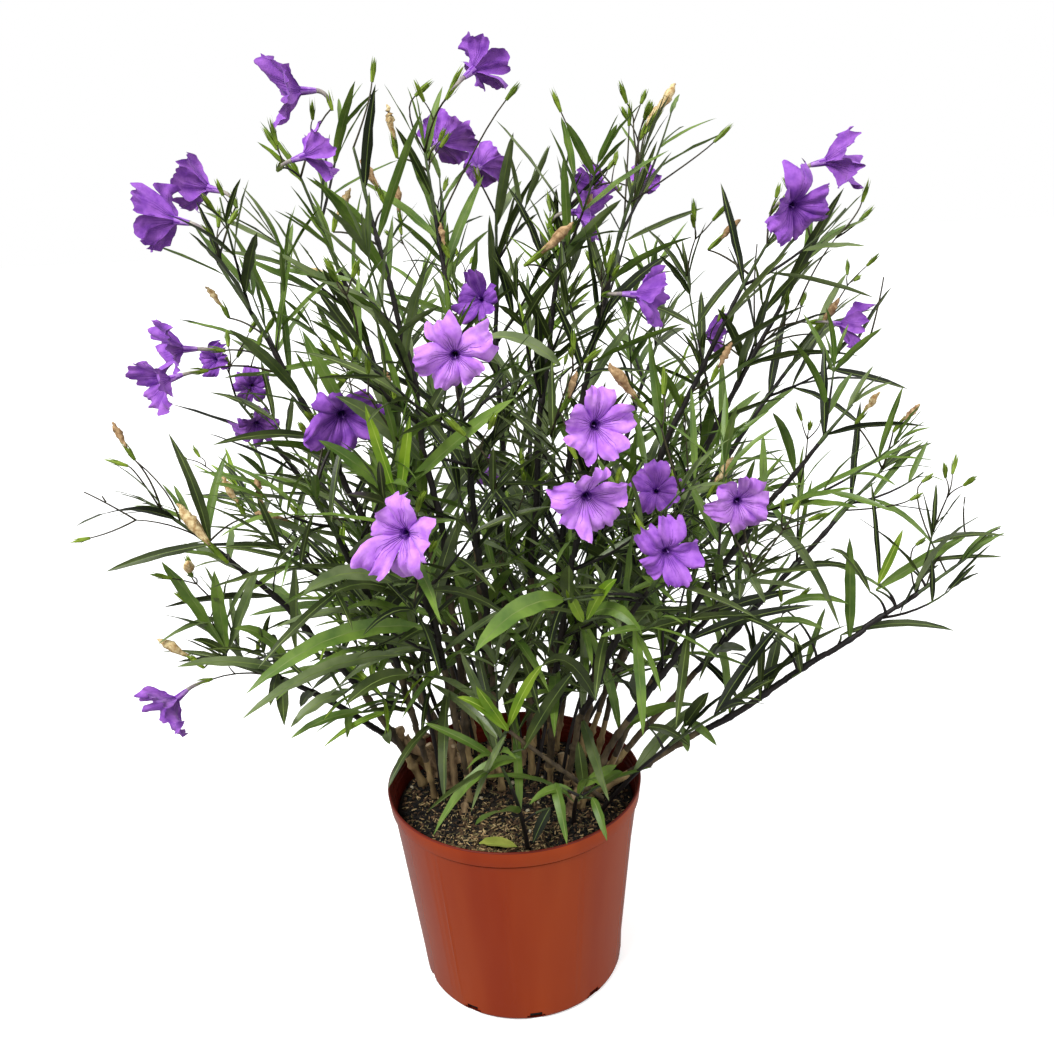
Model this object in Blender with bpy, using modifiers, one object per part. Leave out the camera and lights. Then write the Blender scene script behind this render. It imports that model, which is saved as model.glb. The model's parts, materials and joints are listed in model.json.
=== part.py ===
"""A flowering clump of cane-stemmed bush in a tapered plastic nursery pot.

Metres, +Z up, the viewer's side is -Y. The origin is on the floor, in the middle of the pot's flat
underside. Leafy canes fan out of one pot of soil. Each cane is bare at its foot and then runs on as a
mass of foliage: a shoot with pairs of long narrow leaves, side twigs and violet trumpet blooms.
"""
import math
import random

import bmesh
import bpy
from mathutils import Matrix, Vector
from mathutils.bvhtree import BVHTree

SEED = 7
GAP = 0.0003                 # clearance between solids that rest on each other
UP = Vector((0, 0, 1))

# The pot: a 10 inch nursery pot
POT_TOP_R = 0.127
POT_FOOT_R = 0.103
POT_HEIGHT = 0.214
RIM_BAND = 0.017             # height of the thick band round the rim
RIM_STEP = 0.0022            # how far the band stands out of the wall
WALL = 0.0024
FLOOR = 0.003
FOOT_ROUND = 0.007           # rounding between wall and underside
DRAIN_HOLES = 10
DRAIN_TURN = math.radians(24)    # bearing of the first one
DRAIN_WIDTH = 0.018
DRAIN_HEIGHT = 0.009
SOIL_TOP = 0.190
POT_STEPS = 48

# The canes: radius at the foot, at the flare and where the foliage begins
CANE_FLARE_R = 0.0060
CANE_FOOT_R = 0.0044
CANE_TOP_R = 0.0029
FLARE_HEIGHT = 0.012
SHOOT_TIP_R = 0.0011
BARE_SHARE = 0.28            # share of each cane's length that carries no leaves
CANE_STEPS = 4
SHOOT_STEPS = 5

# Foliage
NODE_SPACING = 0.076         # between one pair of leaves and the next
LEAF_LOW = 0.118             # length of a leaf low on the shoot, and at its tip
LEAF_HIGH = 0.072
LEAF_SLENDER = 0.150         # width as a share of length
LEAF_THICK = 0.013           # thickness as a share of length
LEAF_OPEN = math.radians(52)  # from the stem's own direction
LEAF_ROLL = math.radians(45)  # at most, either way round the leaf's own rib
LEAF_ROOT = 0.0015           # how far a root is sunk past the stem's axis
TWIG_R = 0.0013
TWIG_LENGTH = 0.085
TWIG_EVERY = 3               # a side twig at every third pair of leaves
CLEAR = 0.0008               # kept between the parts of two different masses
SKIRT_RISE = 0.6             # the crown's underside climbs this much for each metre out from the rim
FUSE_TRIES = (("EXACT", 1e-6), ("MANIFOLD", 1e-6), ("EXACT", 3e-7), ("MANIFOLD", 3e-7))

# Blooms
TUBE_LENGTH = 0.030          # from the calyx to the face, for a bloom of full width
TUBE_R = 0.0018
STALK_R = 0.0011
THROAT_R = 0.0075
FULL_BLOOM = 0.056           # width of a bloom of full width
PETALS = 5

# Each cane: foot in the pot (x, y), tip of its shoot (x, y, z), and how far it bows up or down
CANES = {
    "left_low": (-0.090, 0.052, -0.250, -0.060, 0.385, 0.05),
    "left_fan": (-0.096, 0.026, -0.300, -0.020, 0.515, 0.06),
    "left_rear": (-0.076, 0.066, -0.245, 0.070, 0.595, 0.05),
    "left_tall": (-0.074, 0.026, -0.225, 0.000, 0.725, 0.05),
    "left_inner": (-0.054, 0.052, -0.155, 0.040, 0.790, 0.04),
    "centre_left": (-0.048, 0.020, -0.100, -0.010, 0.810, 0.03),
    "centre_main": (-0.024, 0.034, -0.046, 0.030, 0.805, 0.03),
    "centre_rear": (0.000, 0.072, 0.010, 0.130, 0.750, 0.04),
    "centre_slim": (0.018, 0.036, 0.082, 0.050, 0.785, 0.03),
    "centre_right": (0.038, 0.050, 0.135, 0.020, 0.785, 0.04),
    "right_inner": (0.066, 0.026, 0.235, -0.020, 0.720, 0.05),
    "right_tall": (0.084, 0.044, 0.288, 0.030, 0.710, 0.04),
    "right_rear": (0.074, 0.066, 0.320, 0.105, 0.630, 0.05),
    "right_fan": (0.088, 0.006, 0.300, -0.060, 0.590, 0.04),
    "right_wide": (0.090, 0.024, 0.370, 0.050, 0.500, 0.00),
    "right_low": (0.068, -0.012, 0.418, -0.040, 0.440, -0.02),
    "front_left": (-0.046, -0.006, -0.075, -0.200, 0.570, 0.06),
    "front_main": (-0.014, 0.010, -0.020, -0.150, 0.620, 0.05),
    "front_right": (0.034, 0.012, 0.078, -0.172, 0.585, 0.05),
    "front_low": (0.050, -0.004, 0.122, -0.195, 0.500, 0.06),
    "front_side": (0.064, -0.026, 0.200, -0.150, 0.480, 0.04),
    "front_far_left": (-0.082, 0.002, -0.135, -0.150, 0.560, 0.05),
    "back_left": (-0.042, 0.082, -0.130, 0.250, 0.640, 0.05),
    "back_main": (0.020, 0.092, 0.040, 0.310, 0.610, 0.06),
    "back_right": (0.044, 0.080, 0.190, 0.260, 0.620, 0.05),
    "back_low": (-0.060, 0.078, -0.285, 0.190, 0.460, 0.04),
}

# Short sprigs with no bare foot: foot (x, y), tip (x, y, z), bow
SPRIGS = {
    "sprig_front": (0.011, -0.088, -0.012, -0.122, 0.310, 0.05),
    "sprig_rim": (0.056, -0.052, 0.062, -0.118, 0.262, 0.10),
    "sprig_right": (0.084, -0.036, 0.190, -0.105, 0.335, 0.04),
    "sprig_back": (0.060, 0.072, 0.270, 0.200, 0.430, 0.04),
}

# Cut woody stubs of last year's canes: foot (x, y), lean (x, y), height, radius
STUBS = {
    "stub_left": (-0.062, 0.008, -0.002, 0.004, 0.066, 0.0055),
    "stub_right": (0.066, 0.008, -0.018, 0.000, 0.044, 0.0045),
}

# Each bloom: centre of its face (x, y, z), compass bearing that it faces (0 is the viewer's side, 90
# is +X), upward pitch in degrees, and its width
BLOOMS = (
    (-0.170, 0.050, 0.860, -70, 0, 0.064),
    (-0.265, -0.020, 0.765, -105, 12, 0.060),
    (-0.255, 0.050, 0.790, -100, 15, 0.058),
    (-0.125, 0.000, 0.810, 110, 15, 0.054),
    (0.010, 0.020, 0.870, 140, 35, 0.058),
    (-0.030, 0.080, 0.820, 160, 20, 0.054),
    (0.000, 0.120, 0.795, 170, 10, 0.046),
    (0.100, 0.130, 0.775, -120, 10, 0.046),
    (0.100, 0.050, 0.750, 70, 0, 0.056),
    (0.155, 0.150, 0.775, 150, 10, 0.036),
    (0.245, -0.050, 0.745, 10, 0, 0.066),
    (0.310, 0.020, 0.785, 80, 10, 0.056),
    (0.320, 0.000, 0.645, 75, -10, 0.044),
    (0.140, -0.050, 0.685, 80, -5, 0.054),
    (0.220, 0.100, 0.630, 90, 0, 0.038),
    (-0.020, -0.180, 0.665, 0, -5, 0.058),
    (-0.010, 0.000, 0.685, -20, 10, 0.044),
    (-0.265, -0.015, 0.670, -80, 5, 0.052),
    (-0.275, -0.065, 0.635, -60, -10, 0.052),
    (-0.260, 0.050, 0.635, -20, 0, 0.034),
    (-0.240, 0.100, 0.595, 10, 0, 0.040),
    (-0.215, 0.020, 0.575, 20, -20, 0.042),
    (-0.105, -0.155, 0.615, -5, 5, 0.054),
    (0.075, -0.185, 0.615, 5, 5, 0.056),
    (0.070, -0.225, 0.565, 10, -10, 0.054),
    (-0.065, -0.240, 0.555, -20, 10, 0.058),
    (0.130, -0.120, 0.545, 0, 30, 0.042),
    (0.125, -0.215, 0.520, 5, -5, 0.052),
    (0.200, -0.150, 0.525, -5, 0, 0.048),
    (-0.310, -0.080, 0.345, -35, -5, 0.052),
    (-0.150, 0.290, 0.560, 200, 10, 0.056),
    (0.055, 0.335, 0.585, 170, 5, 0.058),
    (0.215, 0.300, 0.545, 150, 0, 0.054),
    (0.335, 0.200, 0.520, 110, 0, 0.050),
    (-0.310, 0.200, 0.490, 235, 0, 0.052),
    (-0.020, 0.285, 0.455, 190, -10, 0.050),
)


def clear_scene():
    for obj in list(bpy.data.objects):
        bpy.data.objects.remove(obj)


def collection(name):
    made = bpy.data.collections.new(name)
    bpy.context.scene.collection.children.link(made)
    return made


def material(name, colour, roughness, metallic=0.0):
    made = bpy.data.materials.new(name)
    made.use_nodes = True
    shader = made.node_tree.nodes["Principled BSDF"]
    shader.inputs["Base Color"].default_value = (*colour, 1)
    shader.inputs["Roughness"].default_value = roughness
    shader.inputs["Metallic"].default_value = metallic
    made.diffuse_color = (*colour, 1)
    return made


def mesh_object(name, bm, where, finish):
    """Turns a bmesh into an object of that name in a collection, with its material."""
    mesh = bpy.data.meshes.new(name)
    bm.to_mesh(mesh)
    bm.free()
    mesh.materials.append(finish)
    obj = bpy.data.objects.new(name, mesh)
    where.objects.link(obj)
    return obj


# Pot and soil

def turned(name, profile, where, finish):
    """A solid of revolution about Z from a closed profile of (radius, height) points."""
    bm = bmesh.new()
    corners = [bm.verts.new((r, 0, z)) for r, z in profile]
    for a, b in zip(corners, corners[1:]):
        bm.edges.new((a, b))
    obj = mesh_object(name, bm, where, finish)
    screw = obj.modifiers.new("turn", "SCREW")
    screw.steps = POT_STEPS
    screw.render_steps = POT_STEPS
    screw.use_merge_vertices = True
    screw.merge_threshold = 0.00001
    return obj


def wall_radius(z):
    """Outer radius of the pot's wall under the rim band."""
    under_band = POT_TOP_R - RIM_STEP
    return POT_FOOT_R + (under_band - POT_FOOT_R) * z / POT_HEIGHT


def foot_arc(radius, start_z, rounding, steps=3):
    """The rounded corner from the wall down to the underside, as (radius, height) points."""
    for i in range(steps + 1):
        turn = math.pi / 2 * i / steps
        yield radius - rounding + rounding * math.cos(turn), start_z + rounding * (1 - math.sin(turn))


def make_pot(where, finish):
    band_foot = POT_HEIGHT - RIM_BAND
    inner_foot = POT_FOOT_R - WALL
    outside = [
        (POT_TOP_R - 0.0012, POT_HEIGHT),
        (POT_TOP_R, POT_HEIGHT - 0.0012),
        (wall_radius(band_foot) + RIM_STEP, band_foot),
        (wall_radius(band_foot), band_foot),
    ]
    outside += list(foot_arc(wall_radius(FOOT_ROUND), 0, FOOT_ROUND))
    inside = [
        (inner_foot - 0.004, FLOOR),
        (inner_foot, FLOOR + 0.004),
        (wall_radius(band_foot) - WALL, band_foot),
        (POT_TOP_R - WALL - RIM_STEP, POT_HEIGHT),
    ]
    profile = [*outside, (0, 0)]
    profile += [(0, FLOOR), *inside, outside[0]]
    pot = turned("pot", profile, where, finish)
    cutters = collection("drain_cutters")
    cutters.hide_render = True
    for i in range(DRAIN_HOLES):
        bm = bmesh.new()
        bmesh.ops.create_cube(bm, size=1)
        bmesh.ops.scale(bm, verts=bm.verts, vec=(0.016, DRAIN_WIDTH, 2 * DRAIN_HEIGHT))
        cutter = mesh_object(f"drain_cutter_{i}", bm, cutters, finish)
        bearing = math.tau * i / DRAIN_HOLES + DRAIN_TURN
        cutter.location = (POT_FOOT_R * math.cos(bearing), POT_FOOT_R * math.sin(bearing), 0)
        cutter.rotation_euler.z = bearing
        cutter.hide_render = True
        cutter.display_type = "WIRE"
    cut = pot.modifiers.new("drain_holes", "BOOLEAN")
    cut.operation = "DIFFERENCE"
    cut.operand_type = "COLLECTION"
    cut.collection = cutters
    return pot


def make_soil(where, finish):
    low = FLOOR + GAP
    inner_foot = POT_FOOT_R - WALL - GAP
    band_foot = POT_HEIGHT - RIM_BAND
    slope = (wall_radius(band_foot) - wall_radius(FLOOR + 0.004)) / (band_foot - FLOOR - 0.004)
    side = inner_foot + slope * (SOIL_TOP - FLOOR - 0.004) - GAP
    profile = [
        (0, SOIL_TOP), (side, SOIL_TOP), (inner_foot - GAP, FLOOR + 0.004 + GAP),
        (inner_foot - 0.004 - GAP, low), (0, low),
    ]
    return turned("soil", profile, where, finish)


# Limbs

def bowed(foot, tip, bow):
    """A smooth path from foot to tip that bows up and inwards by a share of its length."""
    chord = tip - foot
    along = chord.normalized()
    sideways = UP - along * UP.dot(along)
    if sideways.length < 0.1:
        sideways = -Vector((foot.x, foot.y, 0))
    bend = (foot + tip) / 2 + sideways.normalized() * bow * chord.length * 2

    def place(share):
        low = foot.lerp(bend, share)
        return low.lerp(bend.lerp(tip, share), share)
    return place


def cane_path(row):
    foot = Vector((row[0], row[1], SOIL_TOP + GAP))
    return bowed(foot, Vector(row[2:5]), row[5])


def length_of(path, start=0.0, end=1.0, steps=24):
    places = [path(start + (end - start) * i / steps) for i in range(steps + 1)]
    return sum((b - a).length for a, b in zip(places, places[1:]))


def tube(name, places, radii, resolution, where, finish):
    """A tapered limb: a bevelled curve through the places, made a closed mesh."""
    curve = bpy.data.curves.new(name, "CURVE")
    curve.dimensions = "3D"
    curve.bevel_depth = 1
    curve.bevel_resolution = resolution
    curve.use_fill_caps = True
    spline = curve.splines.new("POLY")
    spline.points.add(len(places) - 1)
    for point, place, radius in zip(spline.points, places, radii):
        point.co = (*place, 1)
        point.radius = radius
    guide = bpy.data.objects.new(name + "_guide", curve)
    where.objects.link(guide)
    graph = bpy.context.evaluated_depsgraph_get()
    mesh = bpy.data.meshes.new_from_object(guide.evaluated_get(graph))
    bm = bmesh.new()
    bm.from_mesh(mesh)
    bm.transform(guide.matrix_world)
    bmesh.ops.remove_doubles(bm, verts=bm.verts, dist=0.00001)
    bmesh.ops.recalc_face_normals(bm, faces=bm.faces)
    bpy.data.objects.remove(guide)
    bpy.data.meshes.remove(mesh)
    obj = mesh_object(name, bm, where, finish)
    obj.data.materials.clear()
    obj.data.materials.append(finish)
    return obj


def make_cane(name, path, where, finish):
    """The bare foot of a cane, flared where it leaves the soil, with a level cut there."""
    foot = path(0)
    places = [foot, foot + UP * 0.004]
    radii = [CANE_FLARE_R, CANE_FLARE_R * 0.93]
    flare_share = FLARE_HEIGHT / length_of(path)
    for i in range(CANE_STEPS + 1):
        share = flare_share + (BARE_SHARE - flare_share) * i / CANE_STEPS
        places.append(path(share))
        radii.append(CANE_FOOT_R + (CANE_TOP_R - CANE_FOOT_R) * i / CANE_STEPS)
    return tube("cane_" + name, places, radii, 1, where, finish)


def make_stub(name, row, where, finish):
    foot = Vector((row[0], row[1], SOIL_TOP + GAP))
    top = foot + Vector((row[2], row[3], row[4]))
    places = [foot, foot + UP * 0.004, foot.lerp(top, 0.4), foot.lerp(top, 0.85), top]
    radii = [row[5] * share for share in (1.25, 1.15, 0.9, 1.1, 1.0)]
    return tube(name, places, radii, 2, where, finish)


# Foliage

def frame_along(direction, roll=0.0):
    """A rotation that takes +Z to the direction and +Y to the side that faces the sky."""
    along = direction.normalized()
    across = UP.cross(along)
    if across.length < 1e-4:
        across = Vector((1, 0, 0))
    across.normalize()
    sky = along.cross(across).normalized()
    turn = Matrix((across, sky, along)).transposed().to_4x4()
    return turn @ Matrix.Rotation(roll, 4, "Z")


def blade(root, direction, length, roll, grow=0.0, bare=0.0):
    """A long narrow leaf, flat above and keeled below: a three-sided double cone that arches.

    A bare share is left off at the root, for trying whether the rest meets another leaf."""
    bm = bmesh.new()
    bmesh.ops.create_uvsphere(bm, u_segments=3, v_segments=2, radius=1)
    bmesh.ops.rotate(bm, verts=bm.verts, matrix=Matrix.Rotation(-math.pi / 2, 3, "Z"))
    bmesh.ops.scale(bm, verts=bm.verts, vec=(length * LEAF_SLENDER / 1.732 + grow,
                                             length * LEAF_THICK / 1.5 + grow, length / 2 + grow))
    bmesh.ops.translate(bm, verts=bm.verts, vec=(0, 0, length / 2))
    for vert in bm.verts:
        share = vert.co.z / length
        if 0.2 < share < 0.8:
            vert.co.z -= length * 0.12
        elif share < 0.2:
            share = bare
            vert.co.z = length * bare
        vert.co.y += length * (0.30 * share * (1 - share) - 0.10 * share * share)
    bm.transform(Matrix.Translation(root) @ frame_along(direction, roll))
    return bm


def rod(start, end, radius_start, radius_end, sides=3, grow=0.0):
    bm = bmesh.new()
    span = end - start
    bmesh.ops.create_cone(bm, cap_ends=True, segments=sides, radius1=radius_start + grow,
                          radius2=radius_end + grow, depth=span.length + 2 * grow)
    turn = frame_along(span)
    bm.transform(Matrix.Translation((start + end) / 2) @ turn)
    bmesh.ops.triangulate(bm, faces=bm.faces)
    return bm


def trumpet(centre, facing, width, grow=0.0):
    """A bloom: a narrow tube that opens at the throat into a flat face of five lobes."""
    bm = bmesh.new()
    size = width / FULL_BLOOM
    length = TUBE_LENGTH * size
    flare = -0.20 * width
    bmesh.ops.create_cone(bm, cap_ends=True, segments=2 * PETALS, radius1=TUBE_R + grow,
                          radius2=width / 2 + grow, depth=length)
    bmesh.ops.translate(bm, verts=bm.verts, vec=(0, 0, -length / 2))
    bmesh.ops.bisect_plane(bm, geom=bm.verts[:] + bm.edges[:] + bm.faces[:], dist=0.00001,
                           plane_co=(0, 0, flare), plane_no=(0, 0, 1))
    for vert in bm.verts:
        flat = Vector((vert.co.x, vert.co.y, 0))
        step = round(math.atan2(flat.x, flat.y) / (math.pi / PETALS))
        if abs(vert.co.z - flare) < 0.0001:
            vert.co += flat.normalized() * (THROAT_R * size + grow) - flat
        elif vert.co.z > flare and step % 2:
            vert.co -= flat * 0.42
            vert.co.z -= width * 0.06
    bm.normal_update()
    bmesh.ops.triangulate(bm, faces=bm.faces)
    bm.transform(Matrix.Translation(centre) @ frame_along(facing))
    return bm


def above_skirt(bm):
    """True if nothing of the part hangs below the crown's underside outside the pot."""
    for vert in bm.verts:
        out = math.hypot(vert.co.x, vert.co.y) - POT_TOP_R
        if out > 0.004 and vert.co.z < POT_HEIGHT + SKIRT_RISE * out:
            return False
    return True


def facing_of(bearing, pitch):
    bearing, pitch = math.radians(bearing), math.radians(pitch)
    level = Vector((math.sin(bearing), -math.cos(bearing), 0))
    return level * math.cos(pitch) + UP * math.sin(pitch)


class PlacedParts:
    """Every part placed so far, with the name of the node it belongs to, for keeping masses apart."""

    def __init__(self):
        self.parts = []

    def add(self, owner, bm):
        corners = [v.co.copy() for v in bm.verts]
        low = Vector([min(c[i] for c in corners) for i in range(3)])
        high = Vector([max(c[i] for c in corners) for i in range(3)])
        self.parts.append((owner, low, high, BVHTree.FromBMesh(bm)))

    def free(self, owner, bm, own=False):
        """True if the part, given a little larger than it will be, meets no other node, or no own part."""
        low = Vector([min(v.co[i] for v in bm.verts) for i in range(3)])
        high = Vector([max(v.co[i] for v in bm.verts) for i in range(3)])
        tree = None
        for other, its_low, its_high, its_tree in self.parts:
            if (other == owner) != own:
                continue
            if any(low[i] > its_high[i] or its_low[i] > high[i] for i in range(3)):
                continue
            tree = tree or BVHTree.FromBMesh(bm)
            if tree.overlap(its_tree):
                return False
        return True


class Mass:
    """One mass of foliage: a shoot, and the twigs, leaves and blooms that are fused to it."""

    def __init__(self, name, path, start, where, finish):
        self.name = name
        self.path = path
        self.start = start
        self.finish = finish
        self.parts = collection(name + "_parts")
        self.count = 0
        low = start + GAP / length_of(path) if start else 0.09
        places = [path(low + (1 - low) * i / SHOOT_STEPS) for i in range(SHOOT_STEPS + 1)]
        radii = [CANE_TOP_R * 0.97 + (SHOOT_TIP_R - CANE_TOP_R * 0.97) * i / SHOOT_STEPS
                 for i in range(SHOOT_STEPS + 1)]
        if not start:
            foot = path(0)
            places = [foot, foot + UP * 0.006] + places
            radii = [CANE_TOP_R * 1.2, CANE_TOP_R] + radii
        self.stem = tube(name, places, radii, 0, where, finish)

    def direction(self, share):
        return (self.path(min(share + 0.02, 1.02)) - self.path(share - 0.02)).normalized()

    def try_part(self, crown, make, outer=None):
        """Adds what make() builds if it stays clear of every other node.

        What has an outer end also keeps above the crown's underside, and that end off its own mass."""
        test = make(CLEAR)
        is_free = crown.free(self.name, test) and (outer is None or above_skirt(test))
        test.free()
        if is_free and outer:
            test = outer()
            is_free = crown.free(self.name, test, own=True)
            test.free()
        if not is_free:
            return False
        bm = make(0.0)
        crown.add(self.name, bm)
        mesh_object(f"{self.name}_part_{self.count}", bm, self.parts, self.finish)
        self.count += 1
        return True

    def fuse(self):
        """One Boolean union of the shoot with everything in its collection, fewer leaves if it fails."""
        bpy.context.view_layer.update()
        union = self.stem.modifiers.new("fuse", "BOOLEAN")
        union.operation = "UNION"
        union.operand_type = "COLLECTION"
        union.collection = self.parts
        mesh = None
        while mesh is None:
            for solver, merge in FUSE_TRIES:
                union.solver = solver
                graph = bpy.context.evaluated_depsgraph_get()
                mesh = bpy.data.meshes.new_from_object(self.stem.evaluated_get(graph))
                if tidied(mesh, merge):
                    break
                mesh = None
            if mesh is None:
                print(self.name, "fused with one leaf fewer")
                bpy.data.objects.remove(self.parts.objects[-1])
                bpy.context.view_layer.update()
        self.stem.modifiers.clear()
        self.stem.data = mesh
        mesh.name = self.name
        for part in list(self.parts.objects):
            bpy.data.objects.remove(part)
        bpy.data.collections.remove(self.parts)


def bodies_of(bm):
    """Sets of faces that hang together across edges."""
    left = set(bm.faces)
    while left:
        found, front = set(), [left.pop()]
        while front:
            face = front.pop()
            found.add(face)
            for edge in face.edges:
                for other in edge.link_faces:
                    if other in left:
                        left.discard(other)
                        front.append(other)
        yield found


def tidied(mesh, merge):
    """Keeps the largest body of a union, fills what it sealed in, and says whether it is closed."""
    bm = bmesh.new()
    bm.from_mesh(mesh)
    bmesh.ops.remove_doubles(bm, verts=bm.verts, dist=merge)
    bmesh.ops.triangulate(bm, faces=bm.faces)
    bodies = sorted(bodies_of(bm), key=len)
    for scrap in bodies[:-1]:
        bmesh.ops.delete(bm, geom=list(scrap), context="FACES")
    whole = all(len(edge.link_faces) == 2 and edge.is_contiguous for edge in bm.edges)
    whole = whole and len(list(bodies_of(bm))) == 1
    bm.to_mesh(mesh)
    bm.free()
    return whole


def leaf_direction(stem, around, opening):
    """A leaf's own direction: opened from the stem's by an angle, at a turn round the stem."""
    side = frame_along(stem).to_3x3() @ Vector((math.cos(around), math.sin(around), 0))
    return stem * math.cos(opening) + side * math.sin(opening)


def grow_leaf(mass, crown, root, stem, around, length, rng):
    """One leaf. Where its first place is taken it turns a little and shortens, and is skipped last."""
    opening = LEAF_OPEN * rng.uniform(0.75, 1.2)
    roll = LEAF_ROLL * rng.uniform(-1, 1)
    for turn, shorter in ((0, 1), (0.45, 1), (-0.45, 1), (0.2, 0.78), (-0.7, 0.78), (0.8, 0.7)):
        heading = leaf_direction(stem, around + turn, opening)
        sunk = root - heading * LEAF_ROOT

        def make(grow, heading=heading, sunk=sunk, long=length * shorter):
            return blade(sunk, heading, long, roll, grow)

        def outer(heading=heading, sunk=sunk, long=length * shorter):
            return blade(sunk, heading, long, roll, 0.0, 0.15)
        if mass.try_part(crown, make, outer):
            return True
    return False


def grow_leaves(mass, crown, rng):
    """Opposite pairs of leaves up the shoot, each pair turned a quarter from the last."""
    long = length_of(mass.path, mass.start, 1)
    pairs = max(2, round(long / NODE_SPACING))
    around = rng.uniform(0, math.pi)
    for i in range(pairs + 1):
        along = (i + 0.25) / (pairs + 0.35)
        share = mass.start + (1 - mass.start) * along
        stem = mass.direction(share)
        root = mass.path(share)
        length = (LEAF_LOW + (LEAF_HIGH - LEAF_LOW) * along) * rng.uniform(0.85, 1.12)
        for half in (0, math.pi):
            grow_leaf(mass, crown, root, stem, around + half + rng.uniform(-0.2, 0.2), length, rng)
        if i % TWIG_EVERY == 1 and i < pairs:
            grow_twig(mass, crown, root, stem, around + math.pi / 2, rng)
        around += math.pi / 2 + rng.uniform(-0.25, 0.25)


def grow_twig(mass, crown, root, stem, around, rng):
    """A side twig that carries a pair of small leaves at its tip."""
    for turn in (0, math.pi, 0.5, -0.5):
        heading = leaf_direction(stem, around + turn, math.radians(42))
        length = TWIG_LENGTH * rng.uniform(0.7, 1.1)
        tip = root + heading * length

        def make(grow, tip=tip):
            return rod(root, tip, TWIG_R, TWIG_R * 0.6, 3, grow)

        def outer(heading=heading, tip=tip):
            return rod(root + heading * 0.015, tip, TWIG_R, TWIG_R * 0.6, 3, 0.0)
        if mass.try_part(crown, make, outer):
            for half in (0, math.pi):
                grow_leaf(mass, crown, tip - heading * 0.006, heading, around + half, LEAF_HIGH, rng)
            return


def nearest_mass(masses, place):
    """The mass whose shoot passes nearest the place, and the share along it where a stalk leaves."""
    best = None
    for mass in masses:
        for i in range(2, 20):
            share = mass.start + (1 - mass.start) * i / 20
            gap = place - mass.path(share)
            cost = gap.length + (0.12 if gap.z < 0.01 else 0)
            if best is None or cost < best[0]:
                best = (cost, mass, share)
    return best[1], best[2]


def grow_bloom(masses, crown, row):
    """A trumpet bloom on its own stalk, fused to the nearest shoot."""
    centre, facing, width = Vector(row[:3]), facing_of(row[3], row[4]), row[5]
    mass, share = nearest_mass(masses, centre)
    base = centre - facing * (TUBE_LENGTH * width / FULL_BLOOM - 0.003)
    if not mass.try_part(crown, lambda grow: trumpet(centre, facing, width, grow)):
        return False
    for step in (0, -0.05, 0.05, -0.1, -0.16, 0.1):
        root = mass.path(min(max(share + step, mass.start + 0.03), 0.99))

        def make(grow, root=root):
            return rod(root, base, STALK_R, STALK_R, 3, grow)
        if mass.try_part(crown, make):
            return True
    return False


def add_limb(crown, owner, obj):
    bm = bmesh.new()
    bm.from_mesh(obj.data)
    crown.add(owner, bm)
    bm.free()


def main():
    clear_scene()
    rng = random.Random(SEED)
    part = collection("potted_flowering_clump")
    terracotta = material("terracotta_plastic", (0.42, 0.085, 0.030), 0.38)
    earth = material("potting_soil", (0.045, 0.030, 0.018), 0.95)
    bark = material("purple_brown_bark", (0.075, 0.042, 0.036), 0.6)
    wood = material("weathered_wood", (0.30, 0.205, 0.115), 0.8)
    leaf = material("leaf_green", (0.060, 0.150, 0.038), 0.5)
    pot = make_pot(part, terracotta)
    soil = make_soil(part, earth)
    crown = PlacedParts()
    bpy.context.view_layer.update()
    graph = bpy.context.evaluated_depsgraph_get()
    for vessel in (pot, soil):
        bm = bmesh.new()
        bm.from_mesh(vessel.evaluated_get(graph).data)
        crown.add(vessel.name, bm)
        bm.free()
    for name, row in STUBS.items():
        add_limb(crown, name, make_stub(name, row, part, wood))
    masses = []
    for name, row in CANES.items():
        path = cane_path(row)
        add_limb(crown, "cane_" + name, make_cane(name, path, part, bark))
        masses.append(Mass("foliage_" + name, path, BARE_SHARE, part, leaf))
    for name, row in SPRIGS.items():
        masses.append(Mass(name, cane_path(row), 0.0, part, leaf))
    for mass in masses:
        add_limb(crown, mass.name, mass.stem)
    missed = [row for row in BLOOMS if not grow_bloom(masses, crown, row)]
    for mass in masses:
        grow_leaves(mass, crown, rng)
        print(mass.name, mass.count, "parts")
    for mass in masses:
        mass.fuse()
    print("blooms left out:", missed)
    bpy.context.view_layer.update()
    print("triangles in the foliage:", sum(len(mass.stem.data.polygons) for mass in masses))


main()
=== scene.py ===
# %% [markdown]
# # A potted clump of cane stems with violet blooms
#
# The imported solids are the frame: they say where the pot, the soil, the canes and each mass of foliage
# are. This script dresses them. It makes the pot, the potting mix, the canes with their bark, about
# eighteen hundred narrow leaves, the trumpet blooms, the buds and the spent flowers, all as meshes.
#
# Lengths are metres, +Z is up, and the viewer stands on the -Y side.

# %% Load the frame
import json
import math
import random

import bmesh
import bpy
from mathutils import Matrix, Vector, noise
from mathutils.kdtree import KDTree

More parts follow.
